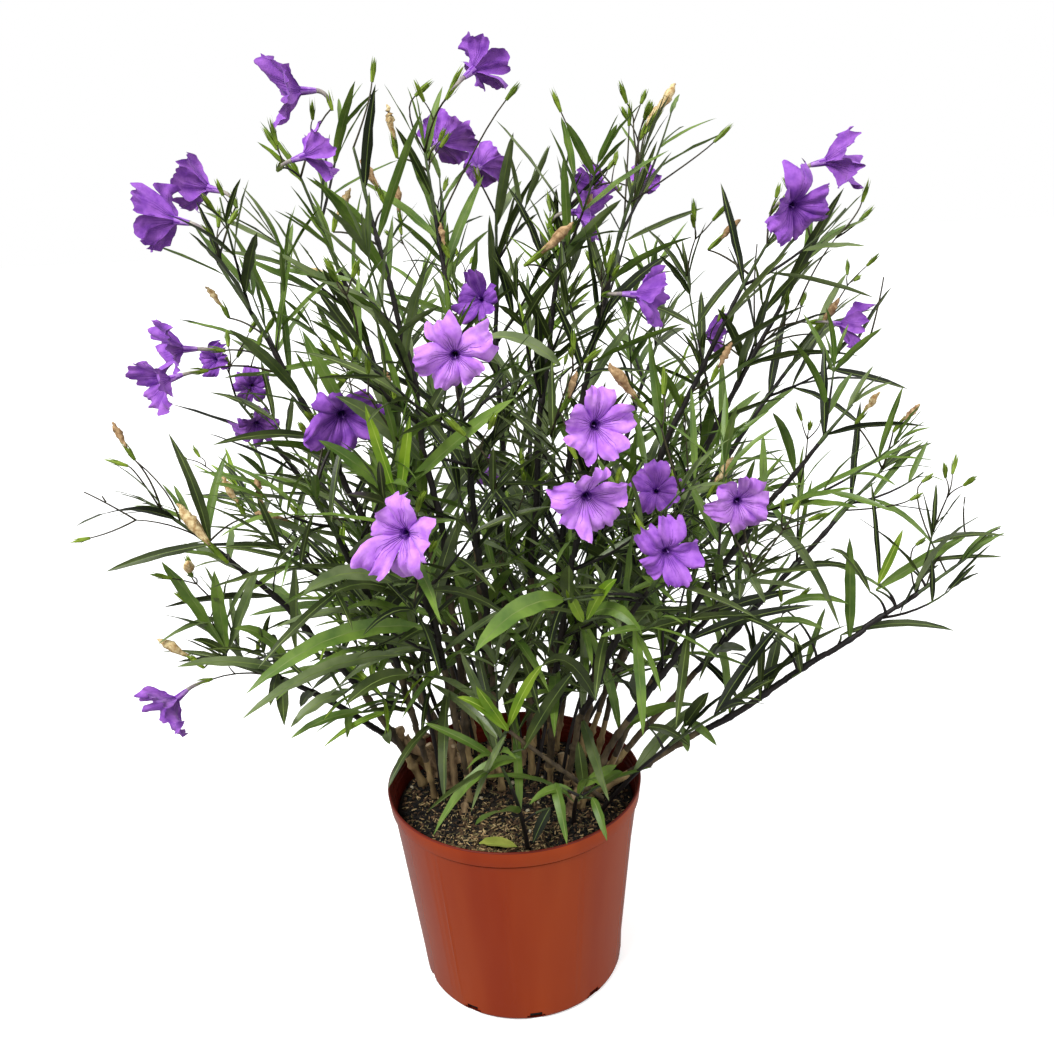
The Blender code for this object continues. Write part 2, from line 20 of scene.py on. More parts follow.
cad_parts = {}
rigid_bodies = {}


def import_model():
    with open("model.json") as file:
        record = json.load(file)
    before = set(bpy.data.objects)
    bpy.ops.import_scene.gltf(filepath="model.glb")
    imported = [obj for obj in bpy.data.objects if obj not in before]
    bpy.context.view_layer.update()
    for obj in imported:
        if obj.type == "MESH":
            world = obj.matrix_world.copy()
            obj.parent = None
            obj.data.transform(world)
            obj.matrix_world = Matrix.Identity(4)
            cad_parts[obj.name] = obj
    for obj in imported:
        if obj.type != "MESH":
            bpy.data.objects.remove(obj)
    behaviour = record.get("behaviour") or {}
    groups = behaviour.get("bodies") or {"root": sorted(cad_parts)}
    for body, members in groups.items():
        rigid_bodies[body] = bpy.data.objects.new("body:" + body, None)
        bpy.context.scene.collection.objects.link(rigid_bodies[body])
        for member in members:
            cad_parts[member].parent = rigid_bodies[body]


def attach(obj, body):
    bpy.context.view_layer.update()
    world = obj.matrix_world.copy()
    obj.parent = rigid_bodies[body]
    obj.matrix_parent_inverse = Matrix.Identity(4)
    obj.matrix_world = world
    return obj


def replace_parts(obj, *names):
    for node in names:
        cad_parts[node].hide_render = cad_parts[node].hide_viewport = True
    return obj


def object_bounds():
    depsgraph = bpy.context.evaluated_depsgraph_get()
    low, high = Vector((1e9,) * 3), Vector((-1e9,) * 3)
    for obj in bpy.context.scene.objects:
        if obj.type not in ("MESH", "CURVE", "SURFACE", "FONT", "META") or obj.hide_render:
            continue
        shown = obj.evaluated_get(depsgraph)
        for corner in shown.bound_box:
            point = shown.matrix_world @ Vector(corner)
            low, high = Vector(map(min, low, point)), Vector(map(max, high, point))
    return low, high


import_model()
cad_low, cad_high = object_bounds()
UP = Vector((0, 0, 1))
print("solids span", [round(v, 3) for v in cad_high - cad_low], "m")


def stops(count):
    """Even shares from 0 to 1, both ends included."""
    return [i / count for i in range(count + 1)]

# %% [markdown]
# ## The view of the photograph
#
# The camera's place was worked out from the pot: its two rims and its foot show as ellipses, and only one
# place fits them all. With it a spot that is read off the photograph can be put back in space, once
# its depth is chosen. Some leaves and spent flowers that stand out at the front are placed like that.

# %% The photograph's camera, and a spot of it in space
CAMERA_PLACE = Vector((0.025, -0.875, 0.774))
CAMERA_PITCH = math.radians(18.8)      # looking down
CAMERA_ROLL = math.radians(-2.8)
FOCAL_PIXELS, FRAME_PIXELS = 1000, 1054
AHEAD = Vector((0, math.cos(CAMERA_PITCH), -math.sin(CAMERA_PITCH)))
over = Vector((0, math.sin(CAMERA_PITCH), math.cos(CAMERA_PITCH)))
RIGHT = Vector((math.cos(CAMERA_ROLL), 0, 0)) + over * math.sin(CAMERA_ROLL)
UPRIGHT = over * math.cos(CAMERA_ROLL) - Vector((math.sin(CAMERA_ROLL), 0, 0))


def seen_at(across, down, depth):
    """The point with y = depth that shows at a pixel of the photograph."""
    half = FRAME_PIXELS / 2
    ray = AHEAD + (RIGHT * (across - half) + UPRIGHT * (half - down)) / FOCAL_PIXELS
    return CAMERA_PLACE + ray * ((depth - CAMERA_PLACE.y) / ray.y)


def pixel_of(point):
    """Where a point shows in the photograph, the other way round."""
    ray = point - CAMERA_PLACE
    scale = FOCAL_PIXELS / ray.dot(AHEAD)
    return FRAME_PIXELS / 2 + ray.dot(RIGHT) * scale, FRAME_PIXELS / 2 - ray.dot(UPRIGHT) * scale

# %% [markdown]
# ## A bag for faces
#
# A plant is thousands of small faces. Making an object for each leaf would be slow to build and slow to
# draw, so every kind of thing is gathered in one bag of points and faces and becomes one object at the
# end. Each face remembers which finish it has, so one piece can hold a green blade and its pale rib.

# %% Gather faces into pieces
class Bag:
    """Points, faces and the finish of each face, until they become one object that rides on the body."""

    def __init__(self, name, finishes, slot, smooth=True):
        self.name, self.finishes, self.slot, self.smooth = name, finishes, slot, smooth
        self.points, self.faces, self.kinds = [], [], []

    def add(self, points, faces, kind=0):
        """Adds faces that count their points from 0; kind is one finish, or a list with one for each face."""
        base = len(self.points)
        self.points.extend(points)
        self.faces.extend([tuple(base + i for i in face) for face in faces])
        self.kinds.extend(kind if isinstance(kind, list) else [kind] * len(faces))

    def piece(self):
        """Makes the object and puts it on the body."""
        mesh = bpy.data.meshes.new(self.name)
        mesh.from_pydata(self.points, [], self.faces)
        for finish in self.finishes:
            mesh.materials.append(finish)
        mesh.polygons.foreach_set("material_index", self.kinds)
        mesh.polygons.foreach_set("use_smooth", [self.smooth] * len(self.faces))
        mesh.update()
        made = bpy.data.objects.new(self.name, mesh)
        bpy.context.scene.collection.objects.link(made)
        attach(made, "root")
        triangles = sum(len(face) - 2 for face in self.faces)
        print(self.name, triangles, "triangles")
        return made


def wall_faces(rings, sides, closed=True):
    """Quads between rings of points that were added one after another."""
    last = sides if closed else sides - 1
    return [(r * sides + i, r * sides + (i + 1) % sides,
             (r + 1) * sides + (i + 1) % sides, (r + 1) * sides + i)
            for r in range(rings - 1) for i in range(last)]

# %% [markdown]
# ## Finishes
#
# Each finish is a Principled shader with a little procedural variation: a noise that wanders between two
# close tones, and a fine bump. Noise in object coordinates needs no unwrapping, which suits meshes made of
# thousands of separate blades. Colours are given as the eye reads them (0 to 255) and turned linear here.

# %% Make a finish
def tone(red, green, blue):
    """A linear colour from a display colour of 0 to 255."""
    return tuple((c / 255 / 12.92) if c <= 10 else ((c / 255 + 0.055) / 1.055) ** 2.4
                 for c in (red, green, blue))


def finish(name, light, dark, roughness, scale, bump=0.0, bump_scale=None, sheen=0.0, shine=0.5, detail=4,
           stretch=(1, 1, 1)):
    """A finish that wanders from one tone to another at the noise's scale, with a bump of its own."""
    made = bpy.data.materials.new(name)
    made.use_nodes = True
    nodes, links = made.node_tree.nodes, made.node_tree.links
    shader = nodes["Principled BSDF"]
    shader.inputs["Roughness"].default_value = roughness
    shader.inputs["Sheen Weight"].default_value = sheen
    shader.inputs["Specular IOR Level"].default_value = shine
    corner = nodes.new("ShaderNodeTexCoord")
    place = nodes.new("ShaderNodeMapping")
    place.inputs["Scale"].default_value = stretch
    links.new(corner.outputs["Object"], place.inputs["Vector"])
    wander = nodes.new("ShaderNodeTexNoise")
    wander.inputs["Scale"].default_value = scale
    wander.inputs["Detail"].default_value = detail
    ramp = nodes.new("ShaderNodeValToRGB")
    ramp.color_ramp.elements[0].position = 0.35
    ramp.color_ramp.elements[1].position = 0.65
    ramp.color_ramp.elements[0].color = (*dark, 1)
    ramp.color_ramp.elements[1].color = (*light, 1)
    links.new(place.outputs["Vector"], wander.inputs["Vector"])
    links.new(wander.outputs["Fac"], ramp.inputs["Fac"])
    links.new(ramp.outputs["Color"], shader.inputs["Base Color"])
    if bump:
        grain = nodes.new("ShaderNodeTexNoise")
        grain.inputs["Scale"].default_value = bump_scale or scale * 6
        grain.inputs["Detail"].default_value = 3
        lift = nodes.new("ShaderNodeBump")
        lift.inputs["Strength"].default_value = bump
        lift.inputs["Distance"].default_value = 0.0006
        links.new(place.outputs["Vector"], grain.inputs["Vector"])
        links.new(grain.outputs["Fac"], lift.inputs["Height"])
        links.new(lift.outputs["Normal"], shader.inputs["Normal"])
    made.diffuse_color = (*light, 1)
    return made

# %% [markdown]
# ## The pot
#
# A nursery pot is blown or injection moulded: a thin wall that tapers to a rounded foot, a thicker band
# round the rim, ledges inside it, ten faint upright panels down the wall and notches at the foot where
# water drains. It is a turned shape, so a profile is spun about the axis. The panels are pressed in point
# by point as it is spun, and the notches are cut with boxes at the end, as a mould would leave them.

# %% Pot sizes, as in the solids
POT_TOP_R = 0.127
POT_FOOT_R = 0.103
POT_HEIGHT = 0.214
RIM_BAND = 0.017
RIM_STEP = 0.0022
WALL = 0.0024
FLOOR = 0.003
FOOT_ROUND = 0.007
DRAIN_HOLES = 10
DRAIN_TURN = math.radians(24)    # bearing of the first notch
DRAIN_WIDTH = 0.018
DRAIN_HEIGHT = 0.009
DRAIN_SILL = 0.0012          # thin web that closes each notch below
DRAIN_DEPTH = 0.016          # size of a cutting box along the radius, half of it inside the wall
DRAIN_ROUND = 0.003          # rounding of a notch's corners
SOIL_TOP = 0.190
LEDGES = 3                   # rings moulded inside the rim band
LEDGE_DEPTH, LEDGE_PITCH = 0.0007, 0.0058    # how far each stands in, and from one to the next
PANELS = 10                  # flat panels round the wall, with a soft edge between each two
PANEL_TURN = math.radians(12)    # bearing of one of those edges
PANEL_SAG = 0.0015           # how far the middle of a panel lies inside the round
CREASE_DEPTH = 0.0005        # the narrow valley between two panels
CREASE_HALF_WIDTH = math.radians(0.9)
LIP_R = 0.0012               # radius of the rolled edge on top
LIP_STEPS = 4                # from its outer side up to its top
GROOVE_DEPTH = 0.0020        # of the line that runs under the rim band
STEP_ROUND = 0.0008          # rounding of the rim band's lower edge


def wall_radius(z):
    """The outer wall's radius at a height."""
    return POT_FOOT_R + (POT_TOP_R - RIM_STEP - POT_FOOT_R) * z / POT_HEIGHT

# %% The pot's profile
def arc(centre_r, centre_z, radius, start, end, steps):
    """Points of an arc, from one angle to another in degrees."""
    turns = [math.radians(start + (end - start) * i / steps) for i in range(steps + 1)]
    return [(centre_r + radius * math.cos(a), centre_z + radius * math.sin(a)) for a in turns]


def pot_profile():
    """The pot's section as (radius, height), from the middle of its underside out, up and back down."""
    band_foot = POT_HEIGHT - RIM_BAND
    groove_r = wall_radius(band_foot) - GROOVE_DEPTH
    profile = [(0.0, 0.0), (wall_radius(0) - FOOT_ROUND, 0.0)]
    profile += arc(wall_radius(FOOT_ROUND) - FOOT_ROUND, FOOT_ROUND, FOOT_ROUND, -80, 0, 6)
    profile += [(wall_radius(z), z) for z in (0.03, 0.07, 0.11, 0.15, band_foot - 0.0022)]
    profile += [(groove_r, band_foot - 0.0018), (groove_r, band_foot)]
    band_r = wall_radius(band_foot) + RIM_STEP
    profile += arc(band_r - STEP_ROUND, band_foot + STEP_ROUND, STEP_ROUND, -90, 0, 4)
    profile += arc(POT_TOP_R - LIP_R, POT_HEIGHT - LIP_R, LIP_R, 0, 180, 2 * LIP_STEPS)
    ledge_r, ledge_z = POT_TOP_R - 2 * LIP_R, POT_HEIGHT - 0.004
    for _ in range(LEDGES):
        profile += [(ledge_r, ledge_z), (ledge_r - LEDGE_DEPTH, ledge_z - 0.0006)]
        ledge_r, ledge_z = ledge_r - 0.0009, ledge_z - LEDGE_PITCH
    profile += [(wall_radius(band_foot) - WALL, band_foot - 0.008)]
    profile += [(wall_radius(0.02) - WALL, 0.02), (0.0, 0.02)]
    return profile

# %% Spin the profile
POT_SPIN = 480               # points round the pot
SEAM = math.radians(-127)    # bearing of the fine raised line the mould left
SEAM_HEIGHT = 0.0008


def pressed_in(angle, z):
    """How far the wall lies inside the round: flat panels, a narrow valley between each two, and the seam."""
    if not 0.012 < z < POT_HEIGHT - RIM_BAND - 0.006:
        return 0.0
    pitch = math.tau / PANELS
    from_edge = (angle - PANEL_TURN + pitch / 2) % pitch - pitch / 2
    across = 1 - abs(from_edge) / (pitch / 2)
    sag = PANEL_SAG * (1 - across * across)
    crease = CREASE_DEPTH * math.exp(-(from_edge / CREASE_HALF_WIDTH) ** 2)
    from_seam = abs((angle - SEAM + math.pi) % math.tau - math.pi)
    return sag + crease - SEAM_HEIGHT * (from_seam < math.tau / POT_SPIN * 0.6)


def make_pot(plastic, shaded):
    """Spins the profile; the inside, the lip and the groove take the darker finish, which is painted shade.
    """
    profile = pot_profile()
    outer = next(i for i, (r, z) in enumerate(profile) if z > POT_HEIGHT - RIM_BAND - 0.001)
    points = []
    for i, (r, z) in enumerate(profile):
        for step in range(POT_SPIN):
            angle = math.tau * step / POT_SPIN
            pressed = r - (pressed_in(angle, z) if i < outer else 0)
            points.append((pressed * math.cos(angle), pressed * math.sin(angle), z))
    lip_top = max(range(len(profile)), key=lambda i: profile[i][1])
    dark = [i >= lip_top - LIP_STEPS or (SOIL_TOP < z and r < wall_radius(z) - 0.9 * GROOVE_DEPTH)
            for i, (r, z) in enumerate(profile[:-1])]
    kinds = [int(shadowed) for shadowed in dark for _ in range(POT_SPIN)]
    bag = Bag("pot_moulded", [plastic, shaded], "pot")
    bag.add(points, [face[::-1] for face in wall_faces(len(profile), POT_SPIN)], kinds)
    return bag.piece()

# %% [markdown]
# The notches are cut by a Boolean with ten boxes, and the result is kept as the pot's own mesh. The boxes
# are removed again, so nothing hidden is left in the scene.

# %% Cut the drain notches
def cut_notches(pot):
    """Cuts the drain notches round the pot's foot."""
    cutters = bpy.data.collections.new("drain_cutters")
    bpy.context.scene.collection.children.link(cutters)
    for i in range(DRAIN_HOLES):
        bearing = math.tau * i / DRAIN_HOLES + DRAIN_TURN
        bm = bmesh.new()
        bmesh.ops.create_cube(bm, size=1)
        bmesh.ops.scale(bm, verts=bm.verts, vec=(DRAIN_DEPTH, DRAIN_WIDTH, DRAIN_HEIGHT))
        bmesh.ops.bevel(bm, geom=[e for e in bm.edges if abs(e.verts[0].co.y - e.verts[1].co.y) < 1e-6
                                  and abs(e.verts[0].co.z - e.verts[1].co.z) < 1e-6],
                        offset=DRAIN_ROUND, segments=4, affect="EDGES")
        middle = DRAIN_SILL + DRAIN_HEIGHT / 2
        place = Vector((POT_FOOT_R * math.cos(bearing), POT_FOOT_R * math.sin(bearing), middle))
        bm.transform(Matrix.Translation(place) @ Matrix.Rotation(bearing, 4, "Z"))
        mesh = bpy.data.meshes.new("drain_cutter")
        bm.to_mesh(mesh)
        bm.free()
        cutters.objects.link(bpy.data.objects.new("drain_cutter", mesh))
    cut = pot.modifiers.new("notches", "BOOLEAN")
    cut.operation, cut.operand_type, cut.collection, cut.solver = "DIFFERENCE", "COLLECTION", cutters, "EXACT"
    bpy.context.view_layer.update()
    graph = bpy.context.evaluated_depsgraph_get()
    notched = bpy.data.meshes.new_from_object(pot.evaluated_get(graph))
    pot.modifiers.clear()
    pot.data = notched
    for cutter in list(cutters.objects):
        bpy.data.objects.remove(cutter)
    bpy.data.collections.remove(cutters)
    # the pockets behind the notches take the darker finish: painted shade
    for face in notched.polygons:            # the inside of each notch takes the dark finish
        height = face.center.z
        if height < DRAIN_SILL + DRAIN_HEIGHT and face.center.xy.length < wall_radius(height) - 0.0025:
            face.material_index = 1 if height > DRAIN_SILL / 2 else 0
    print("pot cut:", len(notched.polygons), "faces")


# the plastic's tone wanders at random and is stretched into tall upright bands: painted sheen, standing in
# for reflections down the panels
UPRIGHT_SHEEN_STREAKS = (1, 1, 0.08)
plastic = finish("terracotta_plastic", tone(166, 66, 18), tone(146, 46, 3), 0.20, 11, bump=0.03,
                 bump_scale=260, shine=0.34, stretch=UPRIGHT_SHEEN_STREAKS)
# the darker finish is painted shade: on the inner wall above the soil, the lip, the groove under the band and
# inside the notches
painted_shade_plastic = finish("painted_shade_inner_wall", tone(112, 34, 18), tone(92, 26, 15), 0.45, 9, shine=0.2)
pot = make_pot(plastic, painted_shade_plastic)
cut_notches(pot)
pot.data.shade_smooth()
pot.data.set_sharp_from_angle(angle=math.radians(38))
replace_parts(pot, "pot")

# %% [markdown]
# ## The potting mix
#
# The soil is composted bark and peat: dark, crumbly, with straw-coloured fibres on top and a few white
# specks. Its surface is a disc of fine rings raised by noise. The crumbs, fibres and specks are small
# separate solids strewn over it by a seeded hand, because a bump alone looks flat this close to the rim.

# %% The soil's surface
SOIL_R = 0.1185
SOIL_RINGS = 46
SOIL_SPOKES = 150
SOIL_ROUGH = 0.0030


def soil_height(x, y):
    """Height of the soil's surface, highest in the middle and crumbly everywhere."""
    place = Vector((x, y, 0))
    crumbs = noise.fractal(place * 90, 0.9, 2.1, 3) * SOIL_ROUGH
    swell = noise.noise(place * 18) * 0.0022
    return SOIL_TOP - 0.0015 + crumbs * 0.5 + swell - 0.004 * (math.hypot(x, y) / SOIL_R) ** 6


def make_soil(mix):
    """A lumpy disc, and a plain body below it that narrows to the pot's floor."""
    points = [(0, 0, soil_height(0, 0))]
    faces = []
    for ring in range(1, SOIL_RINGS + 1):
        radius = SOIL_R * ring / SOIL_RINGS
        for spoke in range(SOIL_SPOKES):
            angle = math.tau * spoke / SOIL_SPOKES
            x, y = radius * math.cos(angle), radius * math.sin(angle)
            points.append((x, y, soil_height(x, y)))
    faces += [(0, 1 + i, 1 + (i + 1) % SOIL_SPOKES) for i in range(SOIL_SPOKES)]
    faces += [tuple(1 + j for j in face[::-1]) for face in wall_faces(SOIL_RINGS, SOIL_SPOKES)]
    foot = len(points)
    foot_r = POT_FOOT_R - WALL - 0.001
    for spoke in range(SOIL_SPOKES):
        angle = math.tau * spoke / SOIL_SPOKES
        points.append((foot_r * math.cos(angle), foot_r * math.sin(angle), FLOOR + 0.0005))
    rim = foot - SOIL_SPOKES
    faces += [(rim + i, foot + i, foot + (i + 1) % SOIL_SPOKES, rim + (i + 1) % SOIL_SPOKES)
              for i in range(SOIL_SPOKES)]
    faces.append(tuple(foot + i for i in range(SOIL_SPOKES))[::-1])
    bag = Bag("potting_mix", [mix], "soil")
    bag.add(points, faces)
    return bag.piece()

# %% Strew crumbs, fibres and specks
def flake(centre, size, turn, tilt):
    """A flat five-cornered chip of bark or fibre: its points and faces."""
    frame_of_chip = Matrix.Rotation(turn, 3, "Z") @ Matrix.Rotation(tilt, 3, "X")
    corners = [(-0.5, -0.3), (0.1, -0.5), (0.5, -0.1), (0.35, 0.45), (-0.35, 0.4)]
    points = []
    for side in (-0.5, 0.5):
        for x, y in corners:
            points.append(centre + frame_of_chip @ Vector((x * size.x, y * size.y, side * size.z)))
    count = len(corners)
    faces = [(i, (i + 1) % count, count + (i + 1) % count, count + i) for i in range(count)]
    faces += [tuple(range(count))[::-1], tuple(range(count, 2 * count))]
    return points, faces


def strewn_place(rng, reach, patch=None):
    """A place on the soil, spread evenly, or gathered round a patch's middle."""
    while True:
        if patch and rng.random() < 0.5:
            x, y = rng.gauss(patch[0], patch[2]), rng.gauss(patch[1], patch[2])
        else:
            radius, angle = reach * math.sqrt(rng.random()), rng.uniform(0, math.tau)
            x, y = radius * math.cos(angle), radius * math.sin(angle)
        if math.hypot(x, y) < reach:
            return Vector((x, y, soil_height(x, y)))


def strew(bag, rng, count, low, high, lift, patch=None, kinds=(0,), steep=0.5):
    """Strews chips whose sides lie between two sizes."""
    for _ in range(count):
        size = Vector([rng.uniform(a, b) for a, b in zip(low, high)])
        centre = strewn_place(rng, SOIL_R - 0.004, patch) + UP * rng.uniform(0, lift)
        points, faces = flake(centre, size, rng.uniform(0, math.tau), rng.uniform(-steep, steep))
        bag.add(points, faces, rng.choice(kinds))


CRUMBS, FIBRES, GRIT = 3600, 3200, 15    # how many of each
STRAW_PATCH = (-0.015, -0.088, 0.032)    # where most of the straw lies, at the front: x, y and spread
rng = random.Random(11)
mix = finish("potting_mix", tone(42, 33, 25), tone(10, 8, 7), 0.95, 150, bump=0.9, bump_scale=420)
crumb_black = finish("bark_crumb_black", tone(20, 18, 15), tone(8, 7, 6), 0.9, 90, bump=0.5)
crumb_brown = finish("bark_crumb_brown", tone(108, 82, 56), tone(62, 46, 30), 0.9, 90, bump=0.5)
straw = finish("straw_fibre", tone(222, 194, 142), tone(158, 126, 82), 0.8, 120, bump=0.3)
soil = make_soil(mix)
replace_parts(soil, "soil")
crumbs = Bag("bark_crumbs", [crumb_black, crumb_brown], "soil", smooth=False)
strew(crumbs, rng, CRUMBS, (0.0020, 0.0014, 0.0010), (0.0052, 0.0034, 0.0024), 0.0022, kinds=(0, 0, 1),
      steep=0.9)
crumbs.piece()
straw_dull = finish("straw_fibre_dull", tone(146, 134, 88), tone(96, 86, 56), 0.85, 120, bump=0.3)
fibres = Bag("straw_fibres", [straw, crumb_brown, straw_dull], "soil", smooth=False)
strew(fibres, rng, FIBRES, (0.0018, 0.0005, 0.0004), (0.0066, 0.0013, 0.0009), 0.0034, STRAW_PATCH, (0, 1, 2))
fibres.piece()
white_grit = finish("white_grit", tone(226, 216, 186), tone(190, 180, 150), 0.8, 200, bump=0.4)
specks = Bag("white_specks", [white_grit], "soil")
strew(specks, rng, GRIT, (0.0024, 0.0024, 0.0020), (0.0048, 0.0046, 0.0034), 0.0024)
specks.piece()

# %% [markdown]
# ## Canes and shoots
#
# Every cane leaves the soil in the place that its solid has, and keeps to the same bowed path: a curve from
# its foot to its tip, bent up and inwards by a share of its length. The table is the one that the solids
# were made from. Real canes are ringed: they swell at each joint where a pair of leaves sat. They are tan
# and rough at the foot and turn smooth and purple-black above, and only the last part is green.

# %% The table of canes: foot x, y, tip x, y, z, and bow
CANES = {
    "left_low": (-0.090, 0.052, -0.250, -0.060, 0.385, 0.05),
    "left_fan": (-0.096, 0.026, -0.300, -0.020, 0.515, 0.06),
    "left_rear": (-0.076, 0.066, -0.245, 0.070, 0.595, 0.05),
    "left_tall": (-0.074, 0.026, -0.225, 0.000, 0.725, 0.05),
    "left_inner": (-0.054, 0.052, -0.155, 0.040, 0.790, 0.04),
    "centre_left": (-0.048, 0.020, -0.100, -0.010, 0.810, 0.03),
    "centre_main": (-0.024, 0.034, -0.046, 0.030, 0.805, 0.03),
    "centre_rear": (0.000, 0.072, 0.010, 0.130, 0.750, 0.04),
    "centre_slim": (0.018, 0.036, 0.082, 0.050, 0.785, 0.03),
    "centre_right": (0.038, 0.050, 0.135, 0.020, 0.785, 0.04),
    "right_inner": (0.066, 0.026, 0.235, -0.020, 0.720, 0.05),
    "right_tall": (0.084, 0.044, 0.288, 0.030, 0.710, 0.04),
    "right_rear": (0.074, 0.066, 0.320, 0.105, 0.630, 0.05),
    "right_fan": (0.088, 0.006, 0.300, -0.060, 0.590, 0.04),
    "right_wide": (0.090, 0.024, 0.370, 0.050, 0.500, 0.00),
    "right_low": (0.068, -0.012, 0.418, -0.040, 0.440, -0.02),
    "front_left": (-0.046, -0.006, -0.075, -0.200, 0.570, 0.06),
    "front_main": (-0.014, 0.010, -0.020, -0.150, 0.620, 0.05),
    "front_right": (0.034, 0.012, 0.078, -0.172, 0.585, 0.05),
    "front_low": (0.050, -0.004, 0.122, -0.195, 0.500, 0.06),
    "front_side": (0.064, -0.026, 0.200, -0.150, 0.480, 0.04),
    "front_far_left": (-0.082, 0.002, -0.135, -0.150, 0.560, 0.05),
    "back_left": (-0.042, 0.082, -0.130, 0.250, 0.640, 0.05),
    "back_main": (0.020, 0.092, 0.040, 0.310, 0.610, 0.06),
    "back_right": (0.044, 0.080, 0.190, 0.260, 0.620, 0.05),
    "back_low": (-0.060, 0.078, -0.285, 0.190, 0.460, 0.04),
}
SPRIGS = {
    "sprig_front": (0.011, -0.088, -0.012, -0.122, 0.310, 0.05),
    "sprig_rim": (0.056, -0.052, 0.062, -0.118, 0.262, 0.10),
    "sprig_right": (0.084, -0.036, 0.190, -0.105, 0.335, 0.04),
    "sprig_back": (0.060, 0.072, 0.270, 0.200, 0.430, 0.04),
}
BARE_SHARE = 0.28            # share of each cane that carries no leaves


def bowed(foot, tip, bow):
    """A smooth path from foot to tip that bows up and inwards by a share of its length."""
    chord = tip - foot
    along = chord.normalized()
    sideways = UP - along * UP.dot(along)
    if sideways.length < 0.1:
        sideways = -Vector((foot.x, foot.y, 0))
    return bezier(foot, (foot + tip) / 2 + sideways.normalized() * bow * chord.length * 2, tip)


def bezier(foot, bend, tip):
    """A curve from foot to tip that is drawn towards the bend, as a function of the share of its way."""
    def place(share):
        return foot.lerp(bend, share).lerp(bend.lerp(tip, share), share)
    return place


def cane_path(row):
    """The path of one row of the tables, from the soil to its tip."""
    return bowed(Vector((row[0], row[1], SOIL_TOP)), Vector(row[2:5]), row[5])


def length_of(path, steps=20):
    """A path's length, measured along short straight steps."""
    places = [path(share) for share in stops(steps)]
    return sum((b - a).length for a, b in zip(places, places[1:]))


def heading_at(path, share):
    """The direction in which a path runs at a share of its way."""
    return (path(share + 0.01) - path(share - 0.01)).normalized()

# %% A limb with swollen joints
def frame_along(direction, roll=0.0):
    """A rotation that takes +Z to the direction and +Y to the side that faces the sky."""
    along = direction.normalized()
    across = UP.cross(along)
    if across.length < 1e-4:
        across = Vector((1, 0, 0))
    across.normalize()
    turn = Matrix((across, along.cross(across), along)).transposed()
    return turn @ Matrix.Rotation(roll, 3, "Z")


def limb(bag, places, radii, sides, kinds, relief=0.0):
    """A closed tube through the places, each ring with its own radius and finish."""
    points = []
    for i, (place, radius) in enumerate(zip(places, radii)):
        ahead = places[min(i + 1, len(places) - 1)] - places[max(i - 1, 0)]
        turn = frame_along(ahead)
        for side in range(sides):
            angle = math.tau * side / sides
            spot = Vector((math.cos(angle), math.sin(angle), 0))
            rough = 1 + relief * noise.noise(place * 300 + spot * 2)
            points.append(place + turn @ (spot * radius * rough))
    faces = wall_faces(len(places), sides)
    face_kinds = [kinds[i // sides] for i in range(len(faces))]
    faces += [tuple(range(sides))[::-1], tuple(range(len(points) - sides, len(points)))]
    bag.add(points, faces, face_kinds + [kinds[0], kinds[-1]])

# %% [markdown]
# The joints come every 42 to 57 mm low on a cane and every 32 to 43 mm near its tip. Each ring of the
# limb gets its radius from the cane's taper and from how near a joint is. Tan, brown, purple and green are
# four finishes dealt out ring by ring up the cane, so the change of colour is in the mesh, not painted on.

# %% Grow the canes
CANE_FLARE_R = 0.0060
CANE_FOOT_R = 0.0044
CANE_TOP_R = 0.0031
SHOOT_TIP_R = 0.0011
JOINT_SPACING = 0.050
CANE_RING = 0.0030           # distance between rings
CANE_SIDES = 12
FLARE_HEIGHT = 0.007         # over which the wider foot dies away
SWELL_BELOW, SWELL_ABOVE = 0.0045, 0.0025    # a joint swells slowly from below and ends short above
WOBBLE, KINK = 0.004, 0.0022     # how far a cane strays from its path: smoothly, and joint by joint
FOOT_THICKNESS = (0.56, 1.02)    # canes differ: some are thinner at the foot than their solid

BARK_STRETCH = (1, 1, 0.22)
tan_bark = finish("tan_cane_bark", tone(188, 162, 112), tone(112, 92, 60), 0.8, 130, bump=0.9,
                  bump_scale=420, stretch=BARK_STRETCH)
brown_bark = finish("brown_cane_bark", tone(108, 92, 66), tone(54, 44, 32), 0.7, 120, bump=0.7,
                    bump_scale=420, stretch=BARK_STRETCH)
purple_bark = finish("purple_cane_bark", tone(31, 21, 20), tone(13, 9, 9), 0.55, 90, bump=0.4,
                     bump_scale=380, stretch=BARK_STRETCH)
green_stem = finish("green_stem", tone(80, 98, 48), tone(50, 62, 32), 0.5, 60, bump=0.2)
BARKS = [tan_bark, brown_bark, purple_bark, green_stem]
noise.seed_set(1)            # vector noise starts from the clock unless it is given a seed


def joint_shares(path, start, spacing, rng):
    """Shares along a path where its joints sit."""
    total = length_of(path)
    joints, at = [], start * total + 0.3 * spacing
    while at < total - 0.2 * spacing:
        joints.append(at / total)
        at += spacing * rng.uniform(0.85, 1.15) * (1.0 - 0.25 * at / total)
    return joints


def cane_finish(share, tan_end, brown_end, green_start):
    """Which of the barks a ring takes: tan, brown, purple or green."""
    if share < tan_end:
        return 0
    if share < brown_end:
        return 1
    return 2 if share < green_start else 3


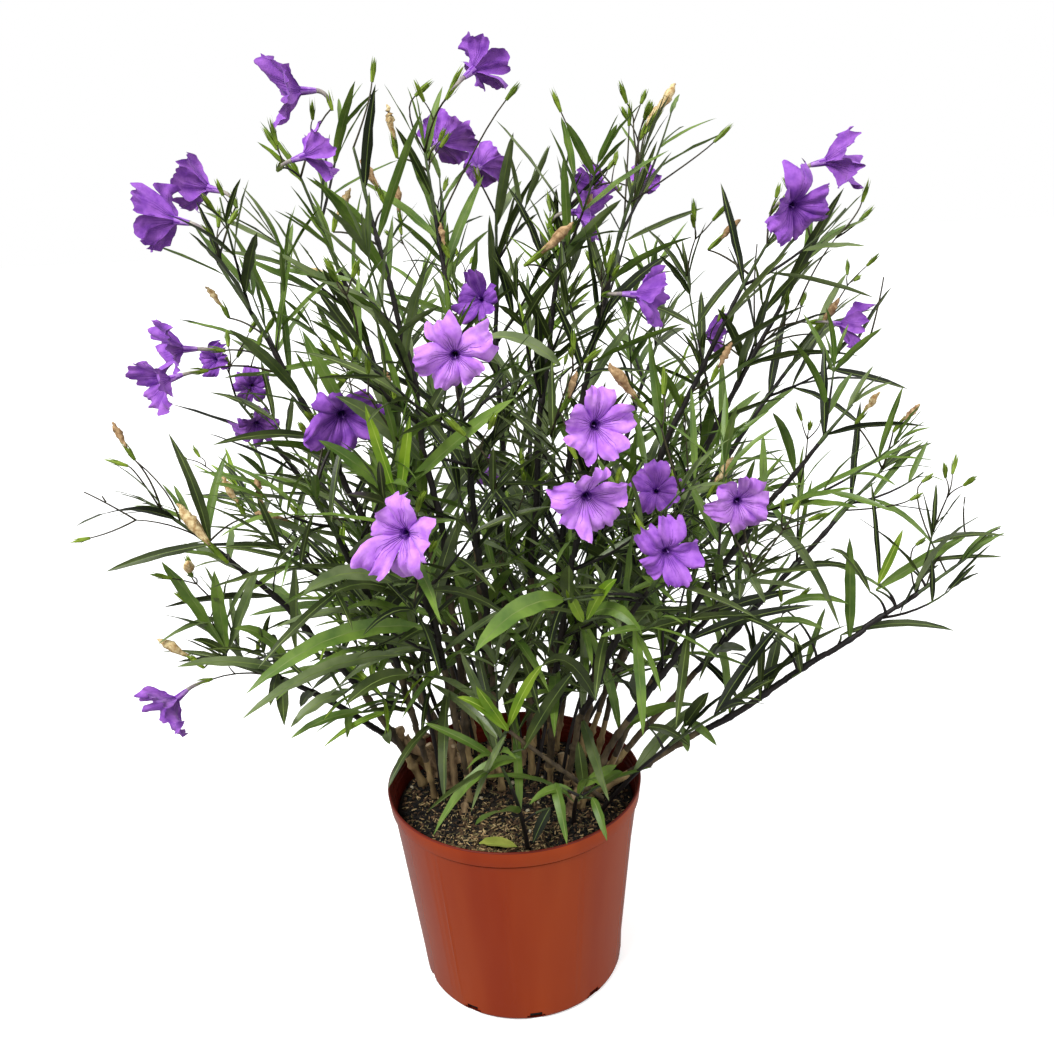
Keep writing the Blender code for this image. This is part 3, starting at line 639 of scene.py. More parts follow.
def grow_cane(name, row, rng):
    """One cane from the soil to its tip, with its joints; returns the joints of its leafy part."""
    path = cane_path(row)
    total = length_of(path)
    joints = joint_shares(path, 0.03, JOINT_SPACING, rng)
    rings = round(total / CANE_RING)
    bounds = rng.uniform(0.06, 0.13), rng.uniform(0.26, 0.46), rng.uniform(0.84, 0.93)
    foot_r = CANE_FOOT_R * rng.uniform(*FOOT_THICKNESS)
    swells = [rng.uniform(0.18, 0.38) + 0.25 * (joint < BARE_SHARE) for joint in joints]
    places, radii, kinds = [], [], []
    for share in stops(rings):
        if share < BARE_SHARE:
            radius = foot_r + (CANE_TOP_R - foot_r) * share / BARE_SHARE
        else:
            leafy = (share - BARE_SHARE) / (1 - BARE_SHARE)
            radius = CANE_TOP_R + (SHOOT_TIP_R - CANE_TOP_R) * leafy ** 2.6
        radius += (CANE_FLARE_R - CANE_FOOT_R) * math.exp(-(share * total / FLARE_HEIGHT) ** 2)
        nearest = min(range(len(joints)), key=lambda j: abs(share - joints[j]))
        apart = (share - joints[nearest]) * total
        radius *= 1 + swells[nearest] * math.exp(-(apart / (SWELL_BELOW if apart < 0 else SWELL_ABOVE)) ** 2)
        free = math.sin(math.pi * share)         # both ends stay where they are
        wobble = noise.noise_vector(path(share) * 14 + Vector((row[0] * 50, 0, 0))) * WOBBLE * free
        kink = noise.noise_vector(Vector((row[0] * 90, row[1] * 90, nearest * 3.7))) * KINK
        places.append(path(share) + wobble + kink * free)
        radii.append(radius)
        kinds.append(cane_finish(share + 0.02 * noise.noise(path(share) * 60), *bounds))
    bag = Bag("bark_" + name, BARKS, "cane")
    limb(bag, places, radii, CANE_SIDES, kinds, relief=0.16)
    made = bag.piece()
    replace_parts(made, "cane_" + name)
    return path, [joint for joint in joints if joint > BARE_SHARE]

# %% [markdown]
# ## Where the blooms are
#
# The blooms are the one thing on this plant whose places can be read off the photograph one by one, so the
# solids hold a table of them: the middle of each face, the way it faces and its width. Here a dozen of its
# rows are turned, resized or shifted a little, to sit closer to the photograph. The last six blooms are
# guessed, and five of them stand farther in than on the solids, so that none shows through the front. The
# table comes before the leaves because a leaf that would lie over a bloom isn't grown there.

# %% The blooms: centre x, y, z, bearing, pitch and width
BLOOMS = (
    (-0.170, 0.050, 0.860, -70, 0, 0.064),
    (-0.265, -0.020, 0.765, -105, 12, 0.060),
    (-0.255, 0.050, 0.790, -100, 15, 0.058),
    (-0.125, 0.000, 0.810, 110, 15, 0.054),
    (0.012, 0.020, 0.874, 130, 30, 0.056),
    (-0.030, 0.080, 0.820, 160, 20, 0.054),
    (0.000, 0.120, 0.795, 170, 10, 0.046),
    (0.100, 0.130, 0.775, -120, 10, 0.046),
    (0.100, 0.050, 0.750, 70, 0, 0.056),
    (0.155, 0.150, 0.775, 150, 10, 0.036),
    (0.255, -0.050, 0.745, 12, -14, 0.058),
    (0.310, 0.020, 0.785, 80, 10, 0.056),
    (0.320, 0.000, 0.645, 75, -10, 0.044),
    (0.140, -0.050, 0.685, 80, -5, 0.054),
    (0.220, 0.100, 0.630, 90, 0, 0.038),
    (-0.020, -0.180, 0.662, 0, -5, 0.051),
    (-0.010, 0.000, 0.685, -20, 10, 0.044),
    (-0.281, -0.010, 0.656, -64, 5, 0.056),
    (-0.275, -0.065, 0.635, -52, -10, 0.052),
    (-0.260, 0.050, 0.635, -20, 0, 0.034),
    (-0.238, 0.100, 0.600, 10, 0, 0.034),
    (-0.215, 0.020, 0.575, 20, -20, 0.040),
    (-0.105, -0.155, 0.615, 14, -13, 0.058),
    (0.081, -0.185, 0.611, 12, 8, 0.056),
    (0.070, -0.225, 0.565, 10, -10, 0.054),
    (-0.065, -0.240, 0.555, -20, 10, 0.058),
    (0.130, -0.120, 0.545, 0, 30, 0.042),
    (0.125, -0.215, 0.520, 5, -5, 0.045),
    (0.190, -0.150, 0.536, 2, 4, 0.050),
    (-0.310, -0.080, 0.345, -36, -16, 0.060),
    (-0.188, 0.290, 0.512, 200, 10, 0.050),      # from here on at the back, guessed
    (-0.060, 0.325, 0.570, 185, 5, 0.052),
    (0.114, 0.300, 0.488, 165, 0, 0.052),
    (0.220, 0.250, 0.430, 140, 0, 0.050),
    (-0.122, 0.245, 0.398, 200, 0, 0.050),
    (-0.020, 0.285, 0.455, 190, -10, 0.050),
)


def facing_of(bearing, pitch):
    """The way a bloom looks. Bearing 0 is towards the viewer and 90 to the right; pitch is upwards."""
    bearing, pitch = math.radians(bearing), math.radians(pitch)
    level = math.cos(pitch)
    return Vector((math.sin(bearing) * level, -math.cos(bearing) * level, math.sin(pitch)))


print(len(BLOOMS), "blooms")

# %% [markdown]
# ## Leaves
#
# A leaf is a long blade: widest a little below its middle, drawn out to a fine tip, folded a little along
# its pale rib, and arching over under its own weight. Eight cross-sections and a tip are enough. Each has
# four points, two edges and the two sides of the rib, so that the rib is a strip of its own with a paler
# finish. The tones go out spray by spray: old leaves dark, or a lighter grey-green that is painted sheen,
# and young tufts yellow-green.

# %% Build one leaf
LEAF_STATIONS = (0.0, 0.05, 0.14, 0.27, 0.42, 0.58, 0.74, 0.89)
LEAF_WIDTHS = (0.16, 0.40, 0.72, 0.94, 1.0, 0.95, 0.78, 0.46)
RIB_HALF = 0.00036
LEAF_FOLD = math.radians(18)     # how far each half is folded up
LEAF_FACES = wall_faces(len(LEAF_STATIONS), 4, closed=False)
LEAF_TIP = 4 * len(LEAF_STATIONS)
LEAF_FACES += [(LEAF_TIP - 4 + i, LEAF_TIP - 3 + i, LEAF_TIP) for i in range(3)]
LEAF_KINDS = [0, 1, 0] * len(LEAF_STATIONS)      # blade, rib, blade
LEAF_MIDDLE = 4 * 5 + 1      # a point of the rib a little past the middle


def arched_rib(root, direction, length, curl):
    """The rib of a leaf that sets off straight and arches down: a place and a frame for each share."""
    turn = frame_along(direction)

    def at(share):
        bend = curl * share
        along, fall = math.sin(bend) / curl * length, -(1 - math.cos(bend)) / curl * length
        return root + turn @ Vector((0, fall, along)), turn @ Matrix.Rotation(-bend, 3, "X")
    return at


def laid_rib(path, face):
    """The rib of a leaf that lies along a path and turns its upper side to a given direction."""
    def at(share):
        along = heading_at(path, share)
        across = face.cross(along).normalized()
        return path(share), Matrix((across, along.cross(across), along)).transposed()
    return at


def leaf_points(rib, width, roll, twist):
    """The points of one leaf, station by station along its rib, then its tip."""
    points = []
    for share, wide in zip(LEAF_STATIONS, LEAF_WIDTHS):
        middle, turn = rib(share)
        tilt = turn @ Matrix.Rotation(roll + twist * share, 3, "Z")
        half = width / 2 * wide
        thin = min(RIB_HALF, half * 0.3)
        fold = LEAF_FOLD + 0.16 * math.sin(share * 19 + roll * 9)
        edge = Vector((half * math.cos(fold), half * math.sin(fold), 0))
        for x, y in ((-edge.x, edge.y), (-thin, 0), (thin, 0), (edge.x, edge.y)):
            points.append(middle + tilt @ Vector((x, y, 0)))
    points.append(rib(1.0)[0])
    return points

# %% [markdown]
# The crown has an outline of its own: flat-topped at the left, a notch in the middle, a long arm at the
# right. It was read off the photograph as a ring of pixels, a little outside the leaf tips. A seeded leaf
# whose tip would show beyond that ring is turned or left out, whatever its depth.

# %% Keep leaves inside the crown
CROWN_OUTLINE = (
    (380, 752), (330, 752), (285, 742), (238, 722), (232, 700), (150, 672), (146, 600), (62, 548),
    (78, 485), (108, 428), (162, 400), (150, 345), (160, 300), (140, 240), (172, 200), (235, 190),
    (245, 115), (300, 112), (350, 66), (428, 74), (500, 60), (528, 140), (550, 98), (592, 150),
    (622, 104), (680, 84), (728, 128), (722, 205), (760, 228), (800, 188), (864, 180), (872, 240),
    (896, 290), (880, 345), (892, 375), (926, 400), (946, 465), (972, 492), (1014, 526), (948, 634),
    (862, 655), (804, 688), (724, 750), (652, 775), (642, 870), (386, 870),
)


def shows_outside(point):
    """True if a point shows outside the crown: a level line cuts the outline an even number of times."""
    across, down = pixel_of(point)
    inside = False
    for (x0, y0), (x1, y1) in zip(CROWN_OUTLINE, CROWN_OUTLINE[1:] + CROWN_OUTLINE[:1]):
        if (y0 > down) != (y1 > down) and across < x0 + (x1 - x0) * (down - y0) / (y1 - y0):
            inside = not inside
    return not inside

# %% Keep leaves off the blooms and over the pot
SKIRT_RISE = 0.6             # the crown's underside climbs this much for each metre out from the rim
SKIRT_FOOT = 0.016           # and starts this much above it
REACH = 0.016                # how far a leaf tip may pass the solids' box
LEAF_TOP = cad_high.z - 0.030    # the topmost blooms stand over the leaves
SIGHT = 0.055                # how far in front of a bloom's face nothing grows

bloom_centres = KDTree(len(BLOOMS))
for i, row in enumerate(BLOOMS):
    bloom_centres.insert(row[:3], i)
bloom_centres.balance()


def hides_bloom(points):
    """True if a point lies on a bloom's face or in the free space in front of it."""
    for p in points:
        for centre, i, _ in bloom_centres.find_range(p, 0.065):
            facing, width = facing_of(*BLOOMS[i][3:5]), BLOOMS[i][5]
            offset = p - centre
            ahead = offset.dot(facing)
            if -0.020 < ahead < SIGHT and (offset - facing * ahead).length < width * 0.52:
                return True
    return False


def stays_inside(points):
    """True if every point is over the soil or above the crown's underside, and within the reach."""
    for p in points:
        if p.z > LEAF_TOP or any(p[i] < cad_low[i] - REACH or p[i] > cad_high[i] + REACH for i in range(3)):
            return False
        out = math.hypot(p.x, p.y)
        if out > POT_TOP_R + 0.003:
            if p.z < POT_HEIGHT + SKIRT_FOOT + SKIRT_RISE * (out - POT_TOP_R):
                return False
        elif p.z < (POT_HEIGHT + 0.003 if out > POT_TOP_R - 0.012 else SOIL_TOP + 0.003):
            return False
    return True

# %% Leaf finishes and their bags
rib_pale = finish("leaf_rib", tone(126, 144, 76), tone(92, 112, 52), 0.5, 50, shine=0.3)
rib_fresh = finish("fresh_leaf_rib", tone(184, 206, 92), tone(146, 174, 60), 0.5, 50, shine=0.3)
LEAF_TONES = {
    "deep": (tone(34, 44, 20), tone(20, 29, 12), 0.46),
    "dark": (tone(71, 84, 37), tone(43, 56, 22), 0.42),
    # the grey tone is a lighter grey-green: painted sheen; its lower roughness gives some real sheen besides
    "grey_sheen": (tone(118, 132, 86), tone(80, 98, 54), 0.36),
    "mid": (tone(112, 139, 54), tone(74, 103, 35), 0.42),
    "fresh": (tone(138, 168, 42), tone(94, 132, 26), 0.44),
}
LEAVES = {}
for leaf_name, (light, dark, rough) in LEAF_TONES.items():
    blade = finish(f"leaf_{leaf_name}", light, dark, rough, 38, bump=0.35, bump_scale=240, shine=0.34)
    rib_finish = rib_fresh if leaf_name == "fresh" else rib_pale
    LEAVES[leaf_name] = Bag(f"leaves_{leaf_name}", [blade, rib_finish], "leaf")
# one of these falls to each spray; the first ten go to the cane's own pairs, all but the first to its tuft
TONE_DEAL = ("deep", "dark", "mid", "dark", "grey_sheen", "deep", "mid", "dark", "mid", "grey_sheen", "mid", "fresh")

# %% Grow one leaf where it may be
FRONT_CLEAR = 0.275          # no leaf from above hangs lower than this over the front of the soil
LEAF_TRIES = ((0, 1), (0.6, 0.9), (-0.6, 0.9), (1.4, 0.7))       # a turn round the stem, a share of length


def veils_soil(root, points):
    """True if a leaf from higher up hangs over the front of the soil, which is open to the view."""
    over_front = [p for p in points if p.y < 0.05 and p.xy.length < 0.17]
    return root.z > FRONT_CLEAR - 0.02 and any(p.z < FRONT_CLEAR for p in over_front)


def droop_at(root):
    """How much leaves hang at a height: those at the top stand up straight, old ones low down arch over."""
    return max(0.30, 1.5 - 1.25 * (root.z - SOIL_TOP) / 0.60)


def grow_leaf(spray, root, stem, around, opening, length, width, rng):
    """One leaf at a turn round its stem. It turns a little, then shortens, where it can't stay inside."""
    droop = droop_at(root)
    curl = rng.uniform(0.10, 1.0) * droop
    opening *= 0.62 + 0.30 * droop
    roll, twist = rng.choice((-1, 1)) * rng.uniform(0.05, 0.85), rng.uniform(-0.6, 0.6)
    for turn, shorter in LEAF_TRIES:
        side = frame_along(stem) @ Vector((math.cos(around + turn), math.sin(around + turn), 0))
        direction = stem * math.cos(opening) + side * math.sin(opening)
        points = leaf_points(arched_rib(root, direction, length * shorter, curl), width, roll, twist)
        if not stays_inside(points) or shows_outside(points[-1]) or shows_outside(points[LEAF_MIDDLE]):
            continue
        if not veils_soil(root, points) and not hides_bloom(points[1::4] + points[-1:]):
            LEAVES[spray].add(points, LEAF_FACES, LEAF_KINDS)
            return 1
    return 0

# %% [markdown]
# ## Shoots
#
# Leaves sit in pairs, and each pair is turned a quarter from the one below, on the cane's own shoot and on
# the side twigs alike. A twig grows from the corner between leaf and stem, bends up towards the light, and
# ends in a tuft of small upright leaves. This is the rule that the solids follow too, only with more joints.

# %% Grow twigs with their leaves
LEAF_LOW, LEAF_HIGH = 0.134, 0.098      # leaf length low on a shoot and at its tip
LEAF_SLENDER = 0.094                    # width as a share of length
LEAF_OPEN = math.radians(48)            # between a leaf and its stem
TWIG_LENGTHS = (0.060, 0.140)
TWIG_JOINT = 0.035           # distance between the joints of a side twig
TWIG_LEAN = 0.70             # angle at which a twig sets off from its stem
TWIG_R, TWIG_TIP_R = 0.0015, 0.0007
MISSING = 0.08               # share of leaves that have dropped
twigs = Bag("twigs", [purple_bark, green_stem, brown_bark], "leaf")


def leaf_pair(spray, root, stem, around, length, opening, rng):
    """Two leaves on opposite sides of a stem, unless one of them has dropped."""
    for half in (0, math.pi):
        if rng.random() < MISSING:
            continue
        long = length * rng.uniform(0.70, 1.18)
        turn = around + half + rng.uniform(-0.25, 0.25)
        grow_leaf(spray, root, stem, turn, opening * rng.uniform(0.7, 1.3),
                  long, long * LEAF_SLENDER * rng.uniform(0.85, 1.15), rng)


def tuft(spray, tip, stem, around, size, rng):
    """The small upright leaves that close a shoot: a pair, and a steeper one a quarter turn on."""
    for ring, opening, length in ((0, 0.46, 0.74), (1, 0.22, 0.50)):
        for half in (0, math.pi):
            long = size * length * rng.uniform(0.80, 1.20)
            root = tip - stem * 0.006 * (1 - ring)
            grow_leaf(spray, root, stem, around + half + ring * math.pi / 2, opening,
                      long, long * LEAF_SLENDER * 1.15, rng)


def grow_twig(spray, root, stem, around, length, rng):
    """A side twig: it sets off at an angle, bends up, carries pairs of leaves and ends in a tuft."""
    side = frame_along(stem) @ Vector((math.cos(around), math.sin(around), 0))
    away = (stem * math.cos(TWIG_LEAN) + side * math.sin(TWIG_LEAN)).normalized()
    bend = root + away * length * 0.5
    tip = bend + (away * 0.65 + UP * 0.45).normalized() * length * 0.5
    if not stays_inside([tip + UP * 0.01, bend]) or hides_bloom([tip, bend]) or shows_outside(tip):
        return None
    path = bezier(root, bend, tip)
    joints = joint_shares(path, 0.12, TWIG_JOINT, rng)
    shares = stops(max(4, round(length / 0.012)))
    limb(twigs, [path(s) for s in shares], [TWIG_R + (TWIG_TIP_R - TWIG_R) * s for s in shares], 5,
         [0 if s < 0.55 else 1 for s in shares])
    turn = rng.uniform(0, math.pi)
    for joint in joints:
        long = LEAF_HIGH * (1.0 - 0.35 * joint)
        leaf_pair(spray, path(joint), heading_at(path, joint), turn, long, LEAF_OPEN, rng)
        turn += math.pi / 2
    tuft(spray, tip, heading_at(path, 0.97), turn, LEAF_HIGH * 0.8, rng)
    return tip


def dress_shoot(path, joints, rng, twig_share=0.50):
    """Pairs of leaves and side twigs up a shoot, and its own tuft. Returns the tips that may flower."""
    tips = []
    turn = rng.uniform(0, math.pi)
    for joint in joints:
        stem, root = heading_at(path, joint), path(joint)
        length = LEAF_LOW + (LEAF_HIGH - LEAF_LOW) * (joint - BARE_SHARE) / (1 - BARE_SHARE)
        leaf_pair(rng.choice(TONE_DEAL[:10]), root, stem, turn, length, LEAF_OPEN, rng)
        if rng.random() < twig_share * (0.7 + 0.6 * joint) and joint < 0.95:
            twig = rng.uniform(*TWIG_LENGTHS) * (1.1 - 0.4 * abs(joint - 0.6))
            around = turn + rng.choice((0, math.pi)) + rng.uniform(-0.3, 0.3)
            tip = grow_twig(rng.choice(TONE_DEAL), root, stem, around, twig, rng)
            if tip:
                tips.append((tip, stem))
        turn += math.pi / 2 + rng.uniform(-0.2, 0.2)
    tuft(rng.choice(TONE_DEAL[1:]), path(1), heading_at(path, 0.98), turn, LEAF_HIGH, rng)
    tips.append((path(1), heading_at(path, 0.98)))
    return tips

# %% Grow the whole clump
BASAL_SHOOTS = 10            # slim ones with no solid of their own, at the sides and the back
BASAL_FIRST, BASAL_SWEEP = -0.35, math.pi + 0.7      # bearing of the first, and the turn they spread over
SLIM_JOINT = 0.042
rng = random.Random(23)
shoots, flowering_tips = {}, []
for cane_name, row in CANES.items():
    path, joints = grow_cane(cane_name, row, rng)
    shoots[cane_name] = path
    flowering_tips += dress_shoot(path, joints, rng)


def grow_slim(slim_name, row, thick, rng):
    """A slim shoot from the soil, leafy from low down."""
    path = cane_path(row)
    shares = stops(24)
    limb(twigs, [path(s) for s in shares], [thick * (1 - 0.55 * s) for s in shares], 7,
         [0 if s < 0.6 else 1 for s in shares], relief=0.1)
    shoots[slim_name] = path
    dress_shoot(path, joint_shares(path, 0.25, SLIM_JOINT, rng), rng, 0.35)


for sprig_name, row in SPRIGS.items():
    grow_slim(sprig_name, row, 0.0024, rng)
for i in range(BASAL_SHOOTS):
    bearing = BASAL_FIRST + BASAL_SWEEP * (i + rng.uniform(-0.3, 0.3)) / BASAL_SHOOTS
    near, far, high = rng.uniform(0.020, 0.088), rng.uniform(0.09, 0.20), rng.uniform(0.36, 0.56)
    foot = near * math.cos(bearing), near * math.sin(bearing)
    tip = far * math.cos(bearing + 0.2), far * math.sin(bearing + 0.2), high
    grow_slim(f"basal_{i}", (*foot, *tip, 0.05), 0.0021, rng)
leaf_count = sum(len(bag.faces) for bag in LEAVES.values()) // len(LEAF_FACES)
print(len(flowering_tips), "tips that may flower,", leaf_count, "leaves")

# %% [markdown]
# ## The leaves that stand out
#
# Thousands of leaves may fall as they like, but the eye knows a plant again by the few that lie in front:
# the long one that reaches out at the lower left, the fork of three at the far left, the bright tufts, and
# the small leaves that hang over the rim. They are laid one by one. Each has the pixel and depth of its
# root and of its tip, how high it arches between them, its width and its tone.

# %% The leaves that stand out
FRONT_LEAVES = (
    ((424, 628, -0.13), (245, 695, -0.21), 0.020, 0.0150, "mid"),
    ((400, 655, -0.12), (241, 720, -0.20), 0.014, 0.0120, "grey_sheen"),
    ((409, 675, -0.14), (345, 706, -0.19), 0.008, 0.0135, "dark"),
    ((345, 693, -0.10), (290, 728, -0.13), 0.006, 0.0120, "grey_sheen"),
    ((362, 712, -0.08), (290, 739, -0.11), 0.006, 0.0090, "mid"),
    ((392, 582, -0.16), (302, 595, -0.22), 0.012, 0.0130, "grey_sheen"),
    ((405, 597, -0.12), (331, 594, -0.18), 0.010, 0.0120, "dark"),
    ((416, 625, -0.10), (342, 612, -0.15), 0.012, 0.0100, "mid"),
    ((296, 653, -0.09), (296, 560, -0.12), 0.000, 0.0130, "dark"),
    ((224, 648, -0.07), (161, 561, -0.10), 0.006, 0.0130, "mid"),
    ((226, 650, -0.07), (214, 570, -0.09), 0.000, 0.0130, "mid"),
    ((230, 648, -0.07), (259, 566, -0.09), 0.000, 0.0120, "grey_sheen"),
    ((226, 653, -0.07), (192, 640, -0.09), 0.003, 0.0080, "dark"),
    ((290, 660, -0.08), (234, 629, -0.10), 0.010, 0.0095, "mid"),
    ((281, 669, -0.08), (176, 667, -0.12), 0.006, 0.0100, "grey_sheen"),
    ((563, 600, -0.20), (474, 653, -0.26), 0.012, 0.0160, "mid"),
    ((569, 602, -0.19), (569, 565, -0.22), 0.000, 0.0140, "dark"),
    ((587, 620, -0.18), (617, 579, -0.20), 0.006, 0.0090, "fresh"),
    ((583, 622, -0.18), (566, 588, -0.20), 0.000, 0.0080, "fresh"),
    ((593, 614, -0.17), (643, 636, -0.20), 0.012, 0.0110, "mid"),
    ((508, 728, -0.13), (543, 664, -0.15), 0.006, 0.0090, "fresh"),
    ((508, 731, -0.13), (476, 686, -0.15), 0.000, 0.0110, "fresh"),
    ((508, 731, -0.13), (457, 697, -0.15), 0.006, 0.0090, "fresh"),
    ((596, 700, -0.10), (541, 667, -0.14), 0.020, 0.0120, "dark"),
    ((524, 749, -0.12), (574, 671, -0.15), 0.004, 0.0125, "dark"),
    ((504, 742, -0.12), (460, 650, -0.13), 0.000, 0.0100, "grey_sheen"),
    ((521, 758, -0.12), (433, 836, -0.15), 0.020, 0.0120, "mid"),
    ((506, 735, -0.13), (471, 812, -0.14), 0.006, 0.0060, "grey_sheen"),
    ((554, 784, -0.10), (567, 845, -0.14), 0.012, 0.0105, "mid"),
    ((572, 791, -0.10), (529, 805, -0.12), 0.008, 0.0090, "mid"),
    ((592, 798, -0.10), (607, 841, -0.13), 0.006, 0.0085, "mid"),
    ((585, 786, -0.09), (617, 765, -0.10), 0.003, 0.0090, "mid"),
    ((600, 786, -0.08), (623, 772, -0.09), 0.003, 0.0085, "mid"),
    ((584, 786, -0.09), (578, 741, -0.10), 0.000, 0.0110, "dark"),
    ((550, 808, -0.09), (533, 843, -0.10), 0.002, 0.0100, "deep"),
    ((648, 727, -0.06), (690, 746, -0.08), 0.006, 0.0085, "dark"),
    ((685, 722, -0.06), (717, 746, -0.08), 0.006, 0.0085, "mid"),
    ((684, 726, -0.06), (709, 692, -0.07), 0.000, 0.0130, "dark"),
    ((683, 727, -0.06), (688, 752, -0.07), 0.000, 0.0080, "mid"),
    ((397, 500, -0.16), (365, 405, -0.18), 0.000, 0.0100, "fresh"),
    ((400, 500, -0.16), (410, 415, -0.18), 0.000, 0.0085, "fresh"),
    ((405, 490, -0.15), (515, 398, -0.18), 0.004, 0.0120, "mid"),
    ((395, 498, -0.15), (318, 440, -0.18), 0.004, 0.0110, "mid"),
    ((420, 460, -0.14), (335, 396, -0.17), 0.006, 0.0125, "grey_sheen"),
    ((560, 365, -0.10), (480, 340, -0.13), 0.010, 0.0110, "grey_sheen"),
    ((350, 420, -0.12), (302, 330, -0.13), 0.000, 0.0100, "mid"),
    ((841, 635, -0.03), (955, 631, -0.03), 0.010, 0.0075, "dark"),
    ((876, 590, -0.04), (968, 535, -0.03), 0.002, 0.0095, "mid"),
    ((905, 566, -0.03), (1004, 557, -0.03), 0.004, 0.0045, "dark"),
    ((878, 584, -0.04), (903, 529, -0.05), 0.000, 0.0075, "fresh"),
    ((870, 592, -0.04), (829, 549, -0.05), 0.010, 0.0065, "dark"),
    ((880, 584, -0.03), (871, 480, -0.03), 0.002, 0.0050, "deep"),
    ((801, 672, -0.03), (794, 632, -0.04), 0.000, 0.0070, "dark"),
    ((767, 525, -0.03), (841, 630, -0.04), 0.022, 0.0080, "grey_sheen"),
    ((780, 606, -0.03), (849, 604, -0.04), 0.008, 0.0070, "mid"),
    ((762, 626, -0.03), (825, 630, -0.04), 0.008, 0.0070, "mid"),
    ((763, 632, -0.04), (760, 702, -0.05), 0.004, 0.0075, "dark"),
    ((790, 570, -0.02), (857, 569, -0.03), 0.006, 0.0060, "dark"),
)
FRONT_BRANCH = ((602, 798, -0.045), (566, 774, -0.090), (509, 731, -0.130))      # foot, bend and tip

# %% Lay them, each on a twig of its own
TO_THE_LIGHT = Vector((-0.25, -0.72, 0.65)).normalized()     # leaves in front turn their upper sides this way
LAID_WIDER = 1.06                                            # the widths above were read across folded blades


def nearest_shoot(place):
    """The spot where a stalk or twig to this place would leave a shoot, and the shoot's heading there."""
    best = None
    for path in shoots.values():
        for share in stops(40)[4:]:
            root = path(share)
            cost = (place - root).length + (0.12 if place.z - root.z < 0.01 else 0)      # best from below
            if best is None or cost < best[0]:
                best = (cost, root, heading_at(path, share))
    return best[1], best[2]


def lay_leaf(row, rng):
    """One leaf of the table, and the twig that carries it."""
    from_pixel, to_pixel, rise, width, spray = row
    root, tip = seen_at(*from_pixel), seen_at(*to_pixel)
    rib = laid_rib(bezier(root, (root + tip) / 2 + UP * 2 * rise, tip), TO_THE_LIGHT)
    points = leaf_points(rib, width * LAID_WIDER, rng.uniform(-0.5, 0.3), 0.3)
    LEAVES[spray].add(points, LEAF_FACES, LEAF_KINDS)
    start, stem = nearest_shoot(root)
    twig = bezier(start, start.lerp(root, 0.5) + stem * 0.2 * (root - start).length, root)
    limb(twigs, [twig(s) for s in stops(8)], [TWIG_R - 0.00064 * s for s in stops(8)], 5, [0] * 4 + [1] * 5)


rng = random.Random(3)
for row in FRONT_LEAVES:
    lay_leaf(row, rng)
front_branch = bezier(*[seen_at(*spot) for spot in FRONT_BRANCH])
limb(twigs, [front_branch(s) for s in stops(24)],
     [(0.0026 - 0.0010 * i / 24) * (1.35 if i % 8 == 5 else 1) for i in range(25)], 8, [2] * 25, relief=0.2)
print(len(FRONT_LEAVES), "leaves laid one by one")

# %% [markdown]
# ## Blooms
#
# Each bloom lasts a day. It is a trumpet: a slender pale tube that widens into a throat, and a face of five
# broad ruffled lobes, crinkled like tissue, with dark veins that run out of the throat. Sculpting 36 of them
# would take days, so each lobe is a patch given by a formula in two numbers: how far across the lobe and how
# far out from the throat. The same formula lays the veins on it as thin strips, so they follow every ruffle.
# Blooms that look at the viewer open into a star, and the others stay a bell.

# %% The surface of a bloom's face
PETALS = 5
TUBE_LENGTH = 0.030          # from the face back to where the neck starts
FULL_BLOOM = 0.056           # width of the bloom that these sizes are for
THROAT_R = 0.0030            # where the face turns into the funnel, for a bloom of full width
THROAT_DEPTH = 0.32          # how deep that is behind the face, as a share of the width
TUBE_R = 0.0016
FACE_STEPS = 20              # steps across each lobe
FACE_RINGS = 11              # steps from the throat out to the edge
FUNNEL_RINGS = 7
FUNNEL_SIDES = 20


def funnel_ring(size, width, share):
    """Radius and depth of the funnel at a share of its way from the throat back to the narrow tube."""
    radius = (THROAT_R + (TUBE_R - THROAT_R) * (0.8 * share + 0.2 * share ** 3)) * size
    return radius, -THROAT_DEPTH * width + (THROAT_DEPTH * width - TUBE_LENGTH * size) * share


def step_up(value, low, high):
    """0 below low, 1 above high, and a straight rise between."""
    return max(0.0, min(1.0, (value - low) / (high - low)))


